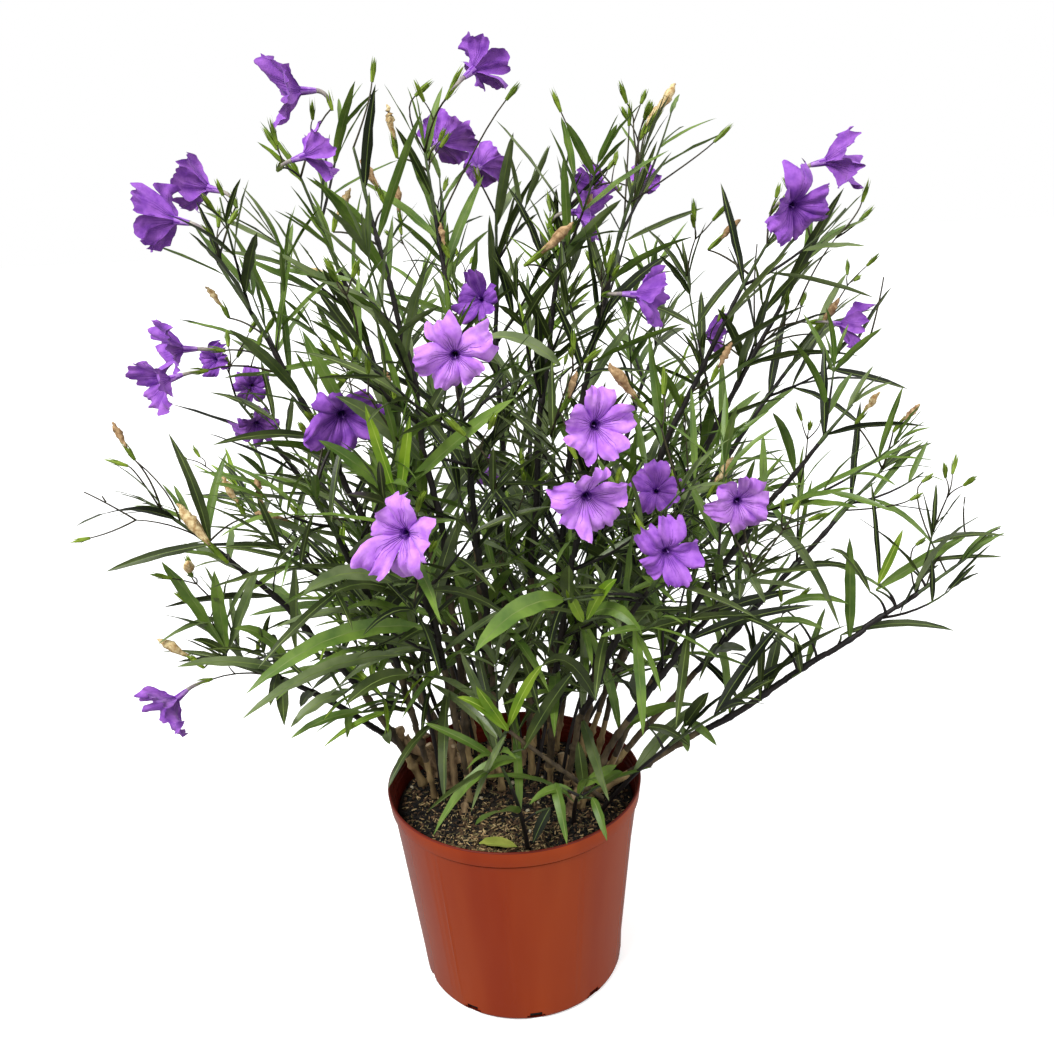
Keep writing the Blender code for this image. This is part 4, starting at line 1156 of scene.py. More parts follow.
def lobe_surface(width, star, rng):
    """Gives a function from (lobe, side, way out) to a point of the face, with +Z as the bloom's front.

    Side runs from -1 to 1 across a lobe. The inner half of the face is one open trumpet. Farther out the five
    lobes come apart, and each one tilts, rolls, folds, curls back and ruffles by itself. A bloom is either a
    star, with deep notches and lobes bent back, or a bell, whose broad lobes lap and lean forward.
    """
    size = width / FULL_BLOOM
    wilt = max(0.0, (0.048 - width) / 0.016)
    reach = width / 2
    lean = (-1.1, 0.45) if star else (-0.35, 0.75)
    breadth = (0.70, 1.22) if star else (0.98, 1.24)
    parting = (0.52, 0.80) if star else (0.56, 0.84)
    tilts = [rng.uniform(*lean) + 0.5 * wilt for _ in range(PETALS)]
    rolls = [rng.uniform(-0.75, 0.75) for _ in range(PETALS)]
    folds = [rng.uniform(-0.22, 0.22) for _ in range(PETALS)]
    curls = [rng.uniform(-0.03, 0.18) + 0.15 * wilt for _ in range(PETALS)]
    longs = [rng.uniform(*(0.82, 1.16) if star else (0.76, 1.02)) for _ in range(PETALS)]
    wides = [rng.uniform(*breadth) for _ in range(PETALS)]
    hollows = [rng.uniform(-0.20, 0.20) for _ in range(PETALS)]
    turns = [rng.uniform(-0.22, 0.22) for _ in range(PETALS)]
    points = [max(-0.06, 0.66 - 0.60 * wide) if star else rng.uniform(0.08, 0.36) for wide in wides]
    dents = [rng.uniform(0.01, 0.08) if star else rng.uniform(0.0, 0.03) for _ in range(PETALS)]
    phase = rng.uniform(0, 9)

    def place(lobe, side, out):
        inner = THROAT_R * size * 0.98
        notch = dents[lobe] * math.exp(-((side - 0.1 * math.sin(phase + lobe)) / 0.25) ** 2)
        waves = 0.03 * math.sin(side * 8 + phase + lobe)
        edge = reach * longs[lobe] * (1 - points[lobe] * abs(side) ** 2.2 - notch + waves)
        radial = inner + (edge - inner) * out
        spread = radial / reach
        touching = math.tan(math.pi / PETALS) * 1.05 * radial
        broad = reach * 0.43 * wides[lobe] * (0.74 + 0.28 * step_up(spread, 0.40, 0.80))
        loose = step_up(spread, *parting)
        wide = touching + (min(touching, broad) - touching) * loose
        across = side * wide * (1 - 0.16 * step_up(spread, 0.84, 1.08) ** 2)
        rounded = 1 / math.sqrt(1 + (across / radial) ** 2)
        keep = rounded + (1 - rounded) * step_up(spread, 0.25, 0.70)
        free = max(0.0, spread - 0.32)
        # the trumpet, then how this lobe tilts, rolls, folds, curls back and hollows
        lift = -THROAT_DEPTH * width * (1 - step_up(spread, 0.11, 1.0)) ** 1.9
        lift += tilts[lobe] * reach * free ** 1.5 + rolls[lobe] * across * free * 1.3
        lift += folds[lobe] * width * abs(side) * free - curls[lobe] * width * step_up(spread, 0.60, 1.1) ** 2
        lift += hollows[lobe] * width * math.sin(math.pi * side * 0.9 + phase) * free
        # one side laps over the next lobe; a crease in the middle, valleys between lobes, a swell each side
        lift += 0.0006 * side * size * min(1.0, out * 3)
        lift -= (0.045 if star else 0.022) * width * math.exp(-(side / 0.16) ** 2) * out ** 0.7
        lift -= 0.075 * width * abs(side) ** 5 * math.exp(-((spread - 0.42) / 0.26) ** 2)
        lift += 0.018 * width * math.exp(-((abs(side) - 0.5) / 0.2) ** 2) * out
        # ruffles that grow towards the edge, and the crinkle of tissue
        ruffle = math.sin(side * 6.5 + phase + 2 * lobe) + 0.7 * math.sin(side * 12 - phase * 3 + lobe)
        ruffle += 0.45 * math.sin(side * 22 + phase * 5 - lobe) * out
        lift += (0.034 + 0.03 * wilt) * width * ruffle * spread * spread * out
        crinkle = noise.noise(Vector((radial * 240, across * 240, phase * 5 + lobe)))
        lift += 0.042 * width * crinkle * out
        angle = math.tau * lobe / PETALS + turns[lobe] * loose
        x = (radial * math.cos(angle) - across * math.sin(angle)) * keep
        y = (radial * math.sin(angle) + across * math.cos(angle)) * keep
        return Vector((x, y, lift))
    return place

# %% Build one bloom
PETAL, STREAK, VEIN, DARK, GLOW, NECK = range(6)     # the finishes of a bloom, in the order of its bag
VEINS = ((-0.55, 0.40), (-0.26, 0.56), (-0.04, 0.86), (0.22, 0.62), (0.52, 0.44))    # across, and how far out
VEIN_STEPS = 7
VEIN_LIFT = 0.00025          # how far a vein stands off the face


def bloom_face(bag, place, surface):
    """Five lobes, each a patch of its own that laps a little over its neighbours."""
    for lobe in range(PETALS):
        points = [place(surface(lobe, 2 * i / FACE_STEPS - 1, (ring / FACE_RINGS) ** 1.25))
                  for ring in range(FACE_RINGS + 1) for i in range(FACE_STEPS + 1)]
        kinds = [GLOW] * FACE_STEPS + [PETAL] * ((FACE_RINGS - 1) * FACE_STEPS)
        bag.add(points, wall_faces(FACE_RINGS + 1, FACE_STEPS + 1, closed=False), kinds)


def bloom_veins(bag, place, surface, rng):
    """Veins that run out of the throat: thin strips a hair above the face, and again below it."""
    for lobe in range(PETALS):
        for side, far in VEINS:
            far *= rng.uniform(0.8, 1.2)
            for lift in (VEIN_LIFT, -VEIN_LIFT):
                points = []
                for step in range(VEIN_STEPS + 1):
                    out = far * step / VEIN_STEPS
                    middle = side * (1 - 0.30 * out) + 0.03 * math.sin(step * 2 + lobe)
                    half = (0.105 - 0.093 * (step / VEIN_STEPS) ** 0.6) / (1 + 4.0 * out)
                    for edge in (-half, half):
                        points.append(place(surface(lobe, middle + edge, out) + Vector((0, 0, lift))))
                bag.add(points, wall_faces(VEIN_STEPS + 1, 2, closed=False), VEIN)


def bloom_funnel(bag, place, size, width):
    """The funnel and the tube behind the face: a streaked skin outside, a dark one inside, a pale stigma."""
    def ring(radius, depth, sides=FUNNEL_SIDES):
        turns = [math.tau * i / sides for i in range(sides)]
        return [place(Vector((radius * math.cos(turn), radius * math.sin(turn), depth))) for turn in turns]
    outside, inside = [], []
    for i in range(FUNNEL_RINGS + 1):
        radius, depth = funnel_ring(size, width, i / FUNNEL_RINGS)
        outside += ring(radius + 0.0004, depth + (0.0010 if i == 0 else 0))
        inside += ring(max(0.0003, radius - 0.0003), depth + (0.0006 if i == 0 else 0.0003))
    stripes = [VEIN if i % 4 == 0 else STREAK if i % 4 == 2 else PETAL for i in range(FUNNEL_SIDES)]
    pale = [VEIN if i % 5 == 0 else STREAK for i in range(FUNNEL_SIDES)]
    kinds = [kind for i in range(FUNNEL_RINGS) for kind in (stripes if i < 3 else pale)]
    bag.add(outside, [face[::-1] for face in wall_faces(FUNNEL_RINGS + 1, FUNNEL_SIDES)], kinds)
    kinds = [(GLOW, VEIN, DARK)[min(i, 2)] for i in range(FUNNEL_RINGS) for _ in range(FUNNEL_SIDES)]
    bag.add(inside, wall_faces(FUNNEL_RINGS + 1, FUNNEL_SIDES), kinds)
    mouth = -THROAT_DEPTH * width
    stigma = ((0.0003, mouth - 0.004), (0.0003, mouth + 0.002), (0.0006, mouth + 0.0040),
              (0.0001, mouth + 0.0052))
    side = place(Vector((0.0010, 0.0008, 0))) - place(Vector())
    points = [p + side for radius, depth in stigma for p in ring(radius, depth, 6)]
    bag.add(points, wall_faces(len(stigma), 6), STREAK)


def bloom_neck(bag, base, facing, size, root):
    """The slim end of the tube, bent down to the calyx; returns where the calyx sits and where it points."""
    bend = base - facing * 0.009 * size
    calyx = bend + ((root - base).normalized() * 0.9 - facing * 0.35).normalized() * 0.013 * size
    path = bezier(base + facing * 0.001, bend, calyx)
    limb(bag, [path(s) for s in stops(7)], [(0.0019 - 0.0007 * s) * size for s in stops(7)], 7, [NECK] * 8)
    return calyx, -heading_at(path, 0.98)

# %% Calyx, buds and spent flowers
green_bud = finish("green_bud", tone(136, 160, 48), tone(92, 118, 30), 0.5, 60, bump=0.2, shine=0.3)
spent_tan = finish("spent_flower", tone(234, 214, 164), tone(168, 132, 84), 0.85, 260, bump=0.9,
                   bump_scale=500, shine=0.2)
spent_brown = finish("spent_flower_brown", tone(200, 168, 126), tone(138, 106, 72), 0.85, 260, bump=0.9,
                     bump_scale=500, shine=0.2)
stalk_dark = finish("flower_stalk", tone(66, 62, 38), tone(40, 34, 25), 0.5, 60, shine=0.3)
buds = Bag("buds_and_calyxes", [green_bud, stalk_dark], "leaf")
spent = Bag("spent_flowers", [spent_tan, spent_brown], "leaf")
STALK_R, THIN_STALK_R = 0.0009, 0.0006


def level_step(rng):
    """A random step in the level plane, up to one unit each way."""
    return Vector((rng.uniform(-1, 1), rng.uniform(-1, 1), 0))


def spindle(bag, root, direction, length, radius, profile, kind, sides=7, crinkle=0.0, rng=None):
    """A closed spindle along a direction, its radius given share by share."""
    places = [root + direction * length * share for share, _ in profile]
    radii = [max(radius * wide, 0.0001) for _, wide in profile]
    if crinkle:
        places = [p + Vector([rng.uniform(-crinkle, crinkle) for _ in range(3)]) for p in places]
    limb(bag, places, radii, sides, [kind] * len(profile), relief=crinkle * 600)


BUD_SHAPE = ((0, 0.45), (0.15, 0.8), (0.4, 1.0), (0.65, 0.75), (0.85, 0.35), (1, 0.05))
SPENT_SHAPE = ((0, 0.36), (0.12, 0.46), (0.24, 0.60), (0.36, 0.72), (0.48, 0.90), (0.58, 1.00), (0.66, 0.88),
               (0.74, 0.80), (0.82, 0.62), (0.90, 0.46), (0.96, 0.30), (1, 0.12))


def sepals(root, direction, length, spread, rng):
    """Five narrow pointed sepals round a bud, a tube or a spent flower."""
    turn = frame_along(direction)
    for i in range(5):
        angle = math.tau * i / 5 + rng.uniform(-0.2, 0.2)
        out = turn @ Vector((math.cos(angle), math.sin(angle), 0))
        across = turn @ Vector((-math.sin(angle), math.cos(angle), 0))
        tip = root + direction * length * rng.uniform(0.85, 1.1) + out * spread
        middle = root + direction * length * 0.45 + out * (spread * 0.55 + 0.0011)
        base = root + out * 0.0009
        wide = across * 0.0010
        buds.add([base - wide, base + wide, middle - wide, middle + wide, tip, middle + out * 0.0004],
                 [(0, 1, 3, 2), (2, 3, 5), (3, 4, 5), (4, 2, 5)], 0)


def stalk(start, end, rise, radius, rng):
    """A thin flower stalk that leaves upwards and curves to its end; returns its path."""
    path = bezier(start, (start + end) / 2 + UP * rise + level_step(rng) * 0.004, end)
    limb(buds, [path(s) for s in stops(6)], [radius * (1.2 - 0.4 * s) for s in stops(6)], 5, [1] * 7)
    return path


def bud_on(root, direction, rng):
    """A bud for one of the next days, in its sepals."""
    long = rng.uniform(0.011, 0.021)
    spindle(buds, root, direction, long, 0.0019, BUD_SHAPE, 0)
    sepals(root, direction, long * 1.05, 0.0020, rng)


def spent_on(root, direction, rng, long=0.046):
    """A spent flower: a long green calyx, and the crumpled remains of the trumpet that hang out of it."""
    spindle(buds, root, direction, long * 0.45, 0.0022, BUD_SHAPE, 0)
    sepals(root, direction, long * 0.55, 0.0030, rng)
    lean = (direction + Vector([rng.uniform(-0.25, 0.25) for _ in range(3)])).normalized()
    length = long * rng.uniform(0.62, 0.72)
    spindle(spent, root + direction * long * 0.36, lean, length, long * 0.092, SPENT_SHAPE,
            rng.choice((0, 0, 1)), 12, 0.0008, rng)

# %% The finishes of the blooms
tube_pale = finish("petal_tube", tone(190, 146, 218), tone(146, 98, 188), 0.66, 160, bump=0.3, shine=0.2)
vein_dark = finish("petal_vein", tone(112, 52, 162), tone(84, 34, 130), 0.6, 120, shine=0.2)
throat_dark = finish("throat_dark", tone(104, 48, 156), tone(76, 32, 122), 0.7, 120, shine=0.1)
throat_glow = finish("throat_glow", tone(158, 92, 206), tone(122, 62, 174), 0.66, 120, shine=0.2)
tube_neck = finish("petal_tube_neck", tone(172, 164, 150), tone(138, 126, 132), 0.6, 200, shine=0.3)
BLOOM_FINISHES = [tube_pale, vein_dark, throat_dark, throat_glow, tube_neck]
# the light petals go only to the blooms that place_bloom takes as sunlit: painted light
PETAL_TONES = {
    "light": (tone(210, 148, 240), tone(182, 114, 222)),
    "mid": (tone(170, 106, 208), tone(136, 74, 184)),
    "deep": (tone(158, 94, 200), tone(122, 62, 170)),
}
BLOOM_BAGS = {}
for petal_name, (light, dark) in PETAL_TONES.items():
    petal = finish(f"petal_{petal_name}", light, dark, 0.62, 110, bump=0.7, bump_scale=420, sheen=0.1,
                   shine=0.2)
    BLOOM_BAGS[petal_name] = Bag(f"blooms_{petal_name}", [petal] + BLOOM_FINISHES, "leaf")

# %% Place the blooms on their stalks
def place_bloom(row, count, rng):
    """One bloom of the table, its calyx, its stalk from the nearest shoot, and a bud or two on the stalk."""
    centre, facing, width = Vector(row[:3]), facing_of(row[3], row[4]), row[5]
    size = width / FULL_BLOOM
    turn = frame_along(facing, rng.uniform(0, math.tau))
    # blooms that face the front at middle height take the light petals: painted light
    sunlit = facing.y < -0.8 and facing.z > -0.2 and 0.4 < centre.z < 0.7 and width > 0.045
    wanted = "light" if sunlit else ("mid", "deep", "mid")[count % 3]
    bag = BLOOM_BAGS[wanted]

    def place(point):
        return centre + turn @ point
    surface = lobe_surface(width, facing.y < -0.8, rng)
    bloom_face(bag, place, surface)
    bloom_veins(bag, place, surface, rng)
    bloom_funnel(bag, place, size, width)
    base = place(Vector((0, 0, -TUBE_LENGTH * size)))
    root, stem = nearest_shoot(base)
    calyx, upwards = bloom_neck(bag, base, facing, size, root)
    spindle(buds, calyx - upwards * 0.002, upwards, 0.010, 0.0018, BUD_SHAPE, 0)
    sepals(calyx - upwards * 0.002, upwards, 0.018, 0.0030, rng)
    path = stalk(root, calyx, 0.2 * (calyx - root).length, STALK_R, rng)
    for share in (0.45, 0.7):
        knee = path(share)
        lean = (UP + level_step(rng) * 0.8).normalized()
        if hides_bloom([knee + lean * 0.020, knee + lean * 0.034]):
            continue
        stalk(knee, knee + lean * 0.018, 0.0, THIN_STALK_R, rng)
        bud_on(knee + lean * 0.018, lean, rng)


rng = random.Random(31)
for count, row in enumerate(BLOOMS):
    place_bloom(row, count, rng)
print(sum(len(bag.faces) for bag in BLOOM_BAGS.values()), "faces of blooms")

# %% [markdown]
# ## Flower stalks with buds and spent flowers
#
# Between the open blooms stand thin forked stalks. They carry green spindle-shaped buds for the next days
# and, here and there, the crumpled tan remains of a past one, still held in its green sepals. One is grown
# on many of the shoot tips, by the same seeded hand.

# %% Grow the forked stalks
FLOWERING_SHARE = 0.42       # of the shoot tips that may flower
SPENT_SHARE = 0.11           # of the stalks, on their first arm


def forked_stalk(tip, stem, rng):
    """A thin stalk with two or three arms that end in buds, the first now and then in a spent flower."""
    lean = (stem * 0.7 + UP * 0.5 + level_step(rng) * 0.45).normalized()
    fork = tip + lean * rng.uniform(0.030, 0.060)
    if not stays_inside([fork + UP * 0.03]) or shows_outside(fork):
        return
    if hides_bloom([tip, fork, fork + lean * 0.03]):
        return
    stalk(tip, fork, 0.002, 0.0008, rng)
    arms = rng.choice((2, 3))
    turn = rng.uniform(0, math.tau)
    for arm in range(arms):
        side = frame_along(lean) @ Vector((math.cos(turn), math.sin(turn), 0))
        direction = (lean * 0.85 + side * 0.5).normalized()
        end = fork + direction * rng.uniform(0.010, 0.026)
        if not stays_inside([end + direction * 0.03]) or shows_outside(end):
            continue
        stalk(fork, end, 0.001, THIN_STALK_R, rng)
        if arm == 0 and rng.random() < SPENT_SHARE:
            spent_on(end, direction, rng)
        else:
            bud_on(end, direction, rng)
        turn += math.tau / arms


for tip, stem in flowering_tips:
    if rng.random() < FLOWERING_SHARE:
        forked_stalk(tip, stem, rng)

# %% [markdown]
# Some spent flowers and bare stalks show clear of the leaves, where the eye finds them first. They were
# read off the photograph: the pixels of a spent flower's tip and calyx, or three pixels along a bare stalk,
# each with a depth close to that of the shoots round it. A thin stalk joins it to the nearest of them.

# %% The spent flowers and bare stalks that stand out
SPENT = (            # pixel of the tip, pixel of the calyx, depth
    ((388, 110), (397, 158), 0.02), ((365, 162), (386, 206), 0.00), ((343, 190), (333, 232), 0.00),
    ((212, 287), (229, 318), 0.02), ((676, 85), (645, 134), 0.05), ((571, 230), (524, 266), 0.00),
    ((738, 220), (708, 250), 0.02), ((841, 303), (812, 334), 0.02), ((879, 393), (855, 424), 0.03),
    ((916, 403), (893, 432), 0.03), ((582, 376), (560, 412), -0.08), ((729, 344), (711, 382), -0.02),
    ((731, 460), (707, 498), -0.10), ((251, 479), (268, 522), -0.06), ((225, 480), (246, 518), -0.04),
    ((177, 514), (228, 563), -0.06), ((111, 427), (135, 460), -0.02), ((163, 637), (204, 668), -0.10),
    ((437, 226), (449, 258), 0.02), ((388, 372), (396, 402), -0.06), ((655, 100), (640, 140), 0.08),
)
BARE_FORKS = (       # pixels along a thin bare stalk, its depth, and whether a bud ends it
    (((204, 526), (168, 521), (136, 520)), -0.03, False), (((136, 520), (106, 502), (84, 492)), -0.03, False),
    (((136, 520), (112, 533), (90, 538)), -0.03, True), (((106, 502), (104, 499), (102, 496)), -0.03, False),
    (((203, 500), (172, 490), (136, 461)), -0.02, False), (((144, 470), (134, 467), (128, 466)), -0.02, True),
    (((905, 560), (935, 549), (965, 534)), -0.03, False),
    (((965, 534), (962, 514), (965, 497)), -0.03, False),
    (((940, 547), (975, 538), (1000, 528)), -0.03, False), (((378, 132), (370, 104), (372, 82)), 0.02, True),
    (((386, 122), (400, 108), (415, 96)), 0.02, True), (((431, 198), (480, 132), (506, 100)), 0.01, True),
    (((612, 182), (574, 146), (561, 112)), 0.05, True), (((638, 205), (628, 160), (629, 126)), 0.05, True),
    (((629, 160), (636, 140), (644, 118)), 0.05, True), (((686, 172), (700, 156), (714, 142)), 0.06, True),
    (((774, 339), (790, 318), (798, 305)), 0.02, False), (((798, 305), (816, 262), (836, 238)), 0.02, False),
    (((836, 238), (858, 216), (862, 202)), 0.02, True), (((836, 238), (850, 230), (860, 220)), 0.02, True),
    (((774, 339), (752, 290), (757, 244)), 0.02, False),
    (((898, 520), (905, 492), (922, 482)), -0.01, True), (((884, 520), (896, 508), (910, 500)), -0.02, True),
    (((893, 560), (905, 552), (916, 545)), -0.03, True),
)

# %% Grow them on the nearest shoots
for tip, calyx, depth in SPENT:
    tip, calyx = seen_at(*tip, depth), seen_at(*calyx, depth)
    root, _ = nearest_shoot(calyx)
    stalk(root, calyx, 0.15 * (calyx - root).length, STALK_R, rng)
    spent_on(calyx, (tip - calyx).normalized(), rng, (tip - calyx).length * 1.05)
reached = {spot for spots, _, _ in BARE_FORKS for spot in spots[1:]}
for spots, depth, has_bud in BARE_FORKS:
    start, middle, end = [seen_at(*spot, depth) for spot in spots]
    if spots[0] not in reached:              # it starts on no other, so it leaves the nearest shoot
        start, _ = nearest_shoot(start)
    path = bezier(start, middle, end)
    limb(buds, [path(s) for s in stops(6)], [STALK_R - 0.0003 * s for s in stops(6)], 5, [1] * 7)
    if has_bud:
        bud_on(path(1), heading_at(path, 0.98), rng)
print(len(SPENT), "spent flowers and", len(BARE_FORKS), "bare stalks from the photograph")

# %% Turn the bags of foliage and blooms into pieces
foliage_nodes = ["foliage_" + cane_name for cane_name in CANES] + list(SPRIGS)
leaf_pieces = [bag.piece() for bag in LEAVES.values()]
for leaf_piece in leaf_pieces:
    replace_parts(leaf_piece, *foliage_nodes)
twigs.piece()
for bag in BLOOM_BAGS.values():
    bag.piece()
buds.piece()
spent.piece()

# %% [markdown]
# ## Cut stubs, a gnarl, a dead stick and a fallen leaf
#
# Old canes were cut back, and their woody stubs stand among the new ones, each with a pale round cut face.
# A knotted lump of old wood sits at the left, a bleached stick leans at the right, and one yellowed leaf
# lies on the soil at the front.

# %% Old wood: foot x, y, lean x, y, height, radius
STUBS = {
    "stub_left": (-0.062, 0.008, -0.002, 0.004, 0.066, 0.0050),
    "stub_right": (0.066, 0.008, -0.018, 0.000, 0.044, 0.0042),
}
SMALL_STUBS = (
    (0.080, 0.030, 0.004, 0.002, 0.026, 0.0042),
    (0.054, -0.034, 0.006, 0.002, 0.020, 0.0060),
    (-0.048, -0.024, -0.001, 0.002, 0.012, 0.0036),
    (-0.086, 0.044, -0.004, 0.008, 0.036, 0.0044),
    (-0.034, 0.014, 0.008, 0.000, 0.030, 0.0036),
    (0.008, 0.052, 0.006, 0.008, 0.034, 0.0040),
    (0.032, 0.094, 0.004, -0.004, 0.030, 0.0038),
)
old_bark = finish("old_wood_bark", tone(178, 150, 110), tone(98, 78, 54), 0.88, 150, bump=1.0, bump_scale=360,
                  stretch=BARK_STRETCH)
cut_face = finish("cut_face", tone(206, 184, 148), tone(170, 142, 104), 0.8, 120, bump=0.4)
STUB_RINGS = 20
STUB_HEAD = 0.82             # share of its height where a stub swells, and where its pegs sit


def make_stub(bag, row, rng):
    """An old cane cut short: a thin shank, a swollen head, and one or two pegs where branches were cut."""
    foot = Vector((row[0], row[1], SOIL_TOP - 0.004))
    lean = Vector((row[2], row[3], row[4]))
    bend = level_step(rng) * 0.003
    shares = stops(STUB_RINGS)
    places = [foot + lean * s + bend * math.sin(math.pi * s) for s in shares]
    radii = [row[5] * (0.78 + 0.35 * math.exp(-(s / 0.10) ** 2)
                       + 0.42 * math.exp(-((s - STUB_HEAD) / 0.12) ** 2)
                       + 0.12 * math.exp(-((s - 0.42) / 0.05) ** 2)) for s in shares]
    limb(bag, places, radii, 14, [0] * STUB_RINGS + [1], relief=0.22)
    for _ in range(rng.choice((1, 2))):
        angle = rng.uniform(0, math.tau)
        side = Vector((math.cos(angle), math.sin(angle), rng.uniform(0.5, 1.2))).normalized()
        start = places[round(STUB_RINGS * STUB_HEAD)]
        peg = [start + side * row[5] * reach for reach in (0, 0.8, 1.4, 1.9)]
        limb(bag, peg, [row[5] * r for r in (0.7, 0.62, 0.5, 0.5)], 10, [0, 0, 0, 1], relief=0.15)


rng = random.Random(5)
for stub_name, row in STUBS.items():
    bag = Bag(stub_name + "_bark", [old_bark, cut_face], "old_wood")
    make_stub(bag, row, rng)
    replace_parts(bag.piece(), stub_name)
bag = Bag("small_stubs", [old_bark, cut_face], "old_wood")
for row in SMALL_STUBS:
    make_stub(bag, row, rng)
bag.piece()

# %% The gnarl and the stick
GNARL = (            # pixels along each arm, depth at its foot and its head, and radius
    (((448, 788), (441, 768), (424, 752), (404, 741)), 0.010, 0.030, 0.0062),
    (((446, 786), (448, 768), (459, 755)), 0.010, 0.016, 0.0052),
    (((426, 756), (420, 744), (424, 733)), 0.024, 0.030, 0.0050),
    (((410, 746), (402, 738), (399, 727)), 0.030, 0.036, 0.0044),
)
gnarl_bag = Bag("gnarled_base", [old_bark, cut_face], "old_wood")
for spots, near, far, radius in GNARL:
    corners = [seen_at(*spot, near + (far - near) * i / (len(spots) - 1)) for i, spot in enumerate(spots)]
    places = [a.lerp(b, i / 6) for a, b in zip(corners, corners[1:]) for i in range(6)] + corners[-1:]
    last = len(places) - 1
    radii = [radius * (0.9 + 0.22 * math.sin(i * 1.3 + spots[0][0]) + 0.3 * math.exp(-((last - i) / 2) ** 2))
             for i in range(last + 1)]
    limb(gnarl_bag, places, radii, 14, [0] * last + [1], relief=0.4)
gnarl_bag.piece()

bleached = finish("bleached_stick", tone(206, 196, 178), tone(168, 154, 132), 0.8, 60, bump=0.4)
stick_bag = Bag("dead_stick", [bleached], "old_wood")
STICK_ENDS = ((598, 797, -0.010), (627, 734, 0.020))     # pixel and depth of its foot and its top
stick_foot, stick_top = [seen_at(*end) for end in STICK_ENDS]
limb(stick_bag, [stick_foot.lerp(stick_top, s) for s in stops(10)], [0.0021 - 0.0007 * s for s in stops(10)],
     8, [0] * 11, relief=0.1)
stick_bag.piece()

# %% The fallen leaf
yellowed = finish("yellowed_leaf", tone(178, 184, 84), tone(140, 150, 60), 0.6, 80, bump=0.4)
fallen = Bag("fallen_leaf", [yellowed, rib_fresh], "leaf")
FALLEN_LEAF = Vector((-0.034, -0.086, SOIL_TOP + 0.0062))
FALLEN_LENGTH, FALLEN_WIDTH = 0.036, 0.018
fallen_rib = arched_rib(FALLEN_LEAF, Vector((1, -0.12, 0.05)), FALLEN_LENGTH, 0.25)
fallen.add(leaf_points(fallen_rib, FALLEN_WIDTH, -0.2, 0.2), LEAF_FACES, LEAF_KINDS)
fallen.piece()

# %% [markdown]
# ## Floor, light and camera
#
# The photograph is cut out on white, so the floor and the surroundings are plain and pale. Soft light comes
# from all round, a large lamp stands high in front on the left, and a weaker one fills from the right. The
# camera stands close and a little above, where the photograph's stood, and tips a few degrees.

# %% The floor
FLOOR_HALF = 14
BOUNCE = tone(150, 150, 150)       # what the floor gives back to the plant
FLOOR_GLOW = 0.42                  # how far it is lit up for the eye alone


def studio_floor():
    """Pale to the eye; it throws less light back up, so that the plant keeps its shadows."""
    made = finish("studio_floor", tone(250, 250, 250), tone(249, 249, 249), 0.9, 2, shine=0)
    nodes, links = made.node_tree.nodes, made.node_tree.links
    shader = nodes["Principled BSDF"]
    pale = shader.inputs["Base Color"].links[0].from_socket
    seen = nodes.new("ShaderNodeLightPath")
    choose = nodes.new("ShaderNodeMix")
    choose.data_type = "RGBA"
    choose.inputs["A"].default_value = (*BOUNCE, 1)
    glow = nodes.new("ShaderNodeMath")
    glow.operation = "MULTIPLY"
    glow.inputs[1].default_value = FLOOR_GLOW
    links.new(seen.outputs["Is Camera Ray"], choose.inputs["Factor"])
    links.new(pale, choose.inputs["B"])
    links.new(choose.outputs["Result"], shader.inputs["Base Color"])
    links.new(seen.outputs["Is Camera Ray"], glow.inputs[0])
    links.new(glow.outputs["Value"], shader.inputs["Emission Strength"])
    shader.inputs["Emission Color"].default_value = (1, 1, 1, 1)
    return made


floor_mesh = bpy.data.meshes.new("floor")
floor_corners = [(x * FLOOR_HALF, y * FLOOR_HALF, 0) for x, y in ((-1, -1), (1, -1), (1, 1), (-1, 1))]
floor_mesh.from_pydata(floor_corners, [], [(0, 1, 2, 3)])
floor_mesh.materials.append(studio_floor())
floor = bpy.data.objects.new("floor", floor_mesh)
bpy.context.scene.collection.objects.link(floor)

# %% The surroundings
LOW_LIGHT, HIGH_LIGHT = 0.24, 1.35     # strength from below the horizon and from overhead
AHEAD_LIGHT, SIDE_LIGHT = 0.72, 1.32   # and what it is multiplied by ahead and at the two sides


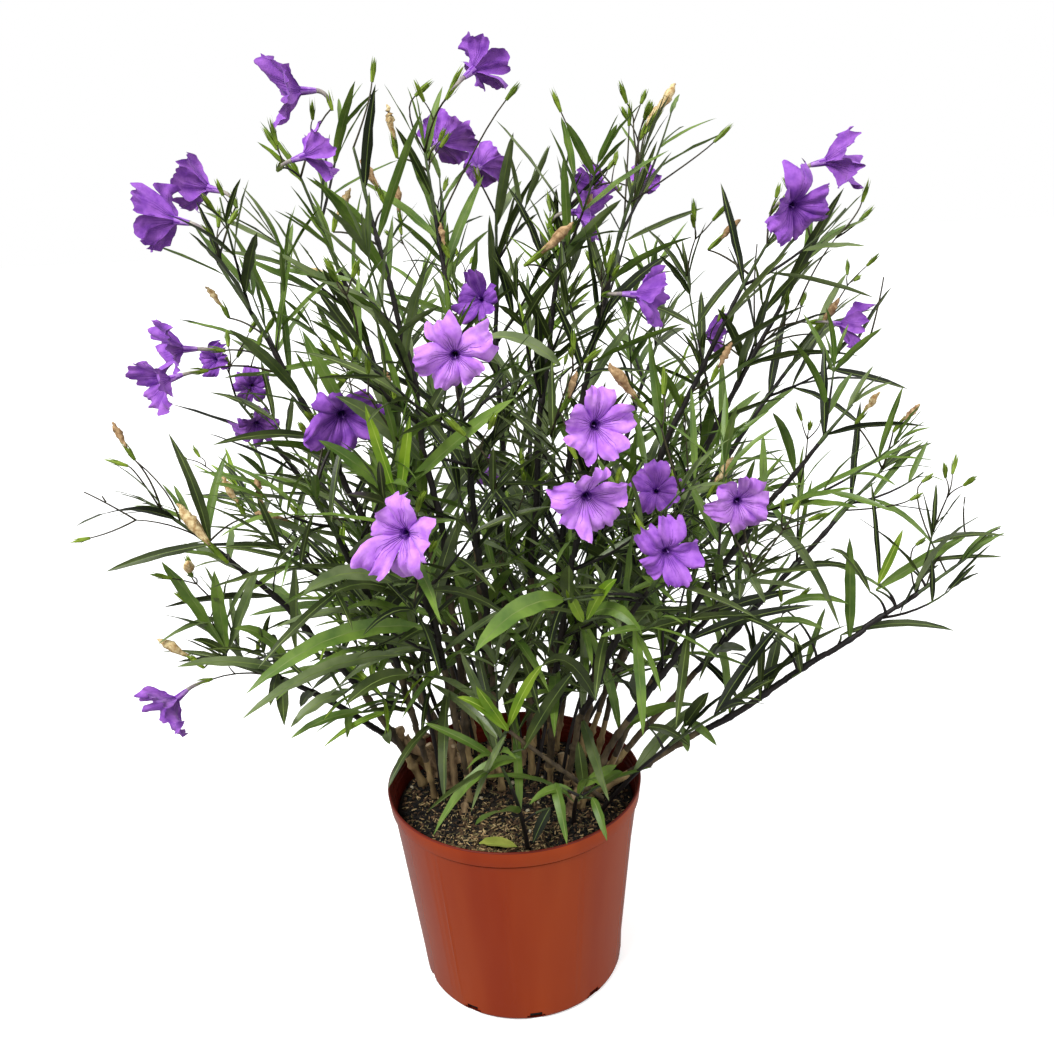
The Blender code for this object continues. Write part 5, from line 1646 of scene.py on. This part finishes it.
def studio_world():
    """Plain white to the eye; as a light it is brightest overhead, then at the two sides."""
    world = bpy.data.worlds.new("studio_white")
    world.use_nodes = True
    nodes, links = world.node_tree.nodes, world.node_tree.links
    background = nodes["Background"]
    background.inputs["Color"].default_value = (1, 1, 1, 1)
    place = nodes.new("ShaderNodeTexCoord")
    split = nodes.new("ShaderNodeSeparateXYZ")
    height = nodes.new("ShaderNodeMapRange")
    height.inputs["From Min"].default_value = -0.2
    height.inputs["From Max"].default_value = 1.0
    height.inputs["To Min"].default_value = LOW_LIGHT
    height.inputs["To Max"].default_value = HIGH_LIGHT
    seen = nodes.new("ShaderNodeLightPath")
    choose = nodes.new("ShaderNodeMix")
    choose.data_type = "FLOAT"
    choose.inputs["B"].default_value = 1.0
    links.new(place.outputs["Generated"], split.inputs["Vector"])
    links.new(split.outputs["Z"], height.inputs["Value"])
    links.new(seen.outputs["Is Camera Ray"], choose.inputs["Factor"])
    aside = nodes.new("ShaderNodeMath")
    aside.operation = "ABSOLUTE"
    from_side = nodes.new("ShaderNodeMapRange")
    from_side.inputs["To Min"].default_value = AHEAD_LIGHT
    from_side.inputs["To Max"].default_value = SIDE_LIGHT
    both = nodes.new("ShaderNodeMath")
    both.operation = "MULTIPLY"
    links.new(split.outputs["X"], aside.inputs[0])
    links.new(aside.outputs["Value"], from_side.inputs["Value"])
    links.new(height.outputs["Result"], both.inputs[0])
    links.new(from_side.outputs["Result"], both.inputs[1])
    links.new(both.outputs["Value"], choose.inputs["A"])
    links.new(choose.outputs["Result"], background.inputs["Strength"])
    return world


bpy.context.scene.world = studio_world()

# %% The two lamps
def lamp(name, place, target, size, power):
    """A round soft lamp that looks at a target; size in metres, power in watts."""
    made = bpy.data.lights.new(name, "AREA")
    made.shape, made.size, made.energy = "DISK", size, power
    holder = bpy.data.objects.new(name, made)
    holder.location = place
    holder.rotation_euler = (Vector(target) - Vector(place)).to_track_quat("-Z", "Y").to_euler()
    bpy.context.scene.collection.objects.link(holder)


lamp("key_soft", (-1.1, -1.5, 2.4), (0, 0, 0.45), 1.0, 56)
lamp("fill_soft", (1.7, -1.2, 1.3), (0, 0, 0.4), 1.6, 10)
bpy.context.scene.view_settings.view_transform = "Standard"

# %% The camera
camera_data = bpy.data.cameras.new("camera")
camera_data.sensor_width = 36
camera_data.lens = camera_data.sensor_width * FOCAL_PIXELS / FRAME_PIXELS
camera = bpy.data.objects.new("camera", camera_data)
camera_turn = Matrix((RIGHT, UPRIGHT, -AHEAD)).transposed()
camera.matrix_world = Matrix.Translation(CAMERA_PLACE) @ camera_turn.to_4x4()
bpy.context.scene.collection.objects.link(camera)
bpy.context.scene.camera = camera
print("camera's lens", round(camera_data.lens, 1), "mm")
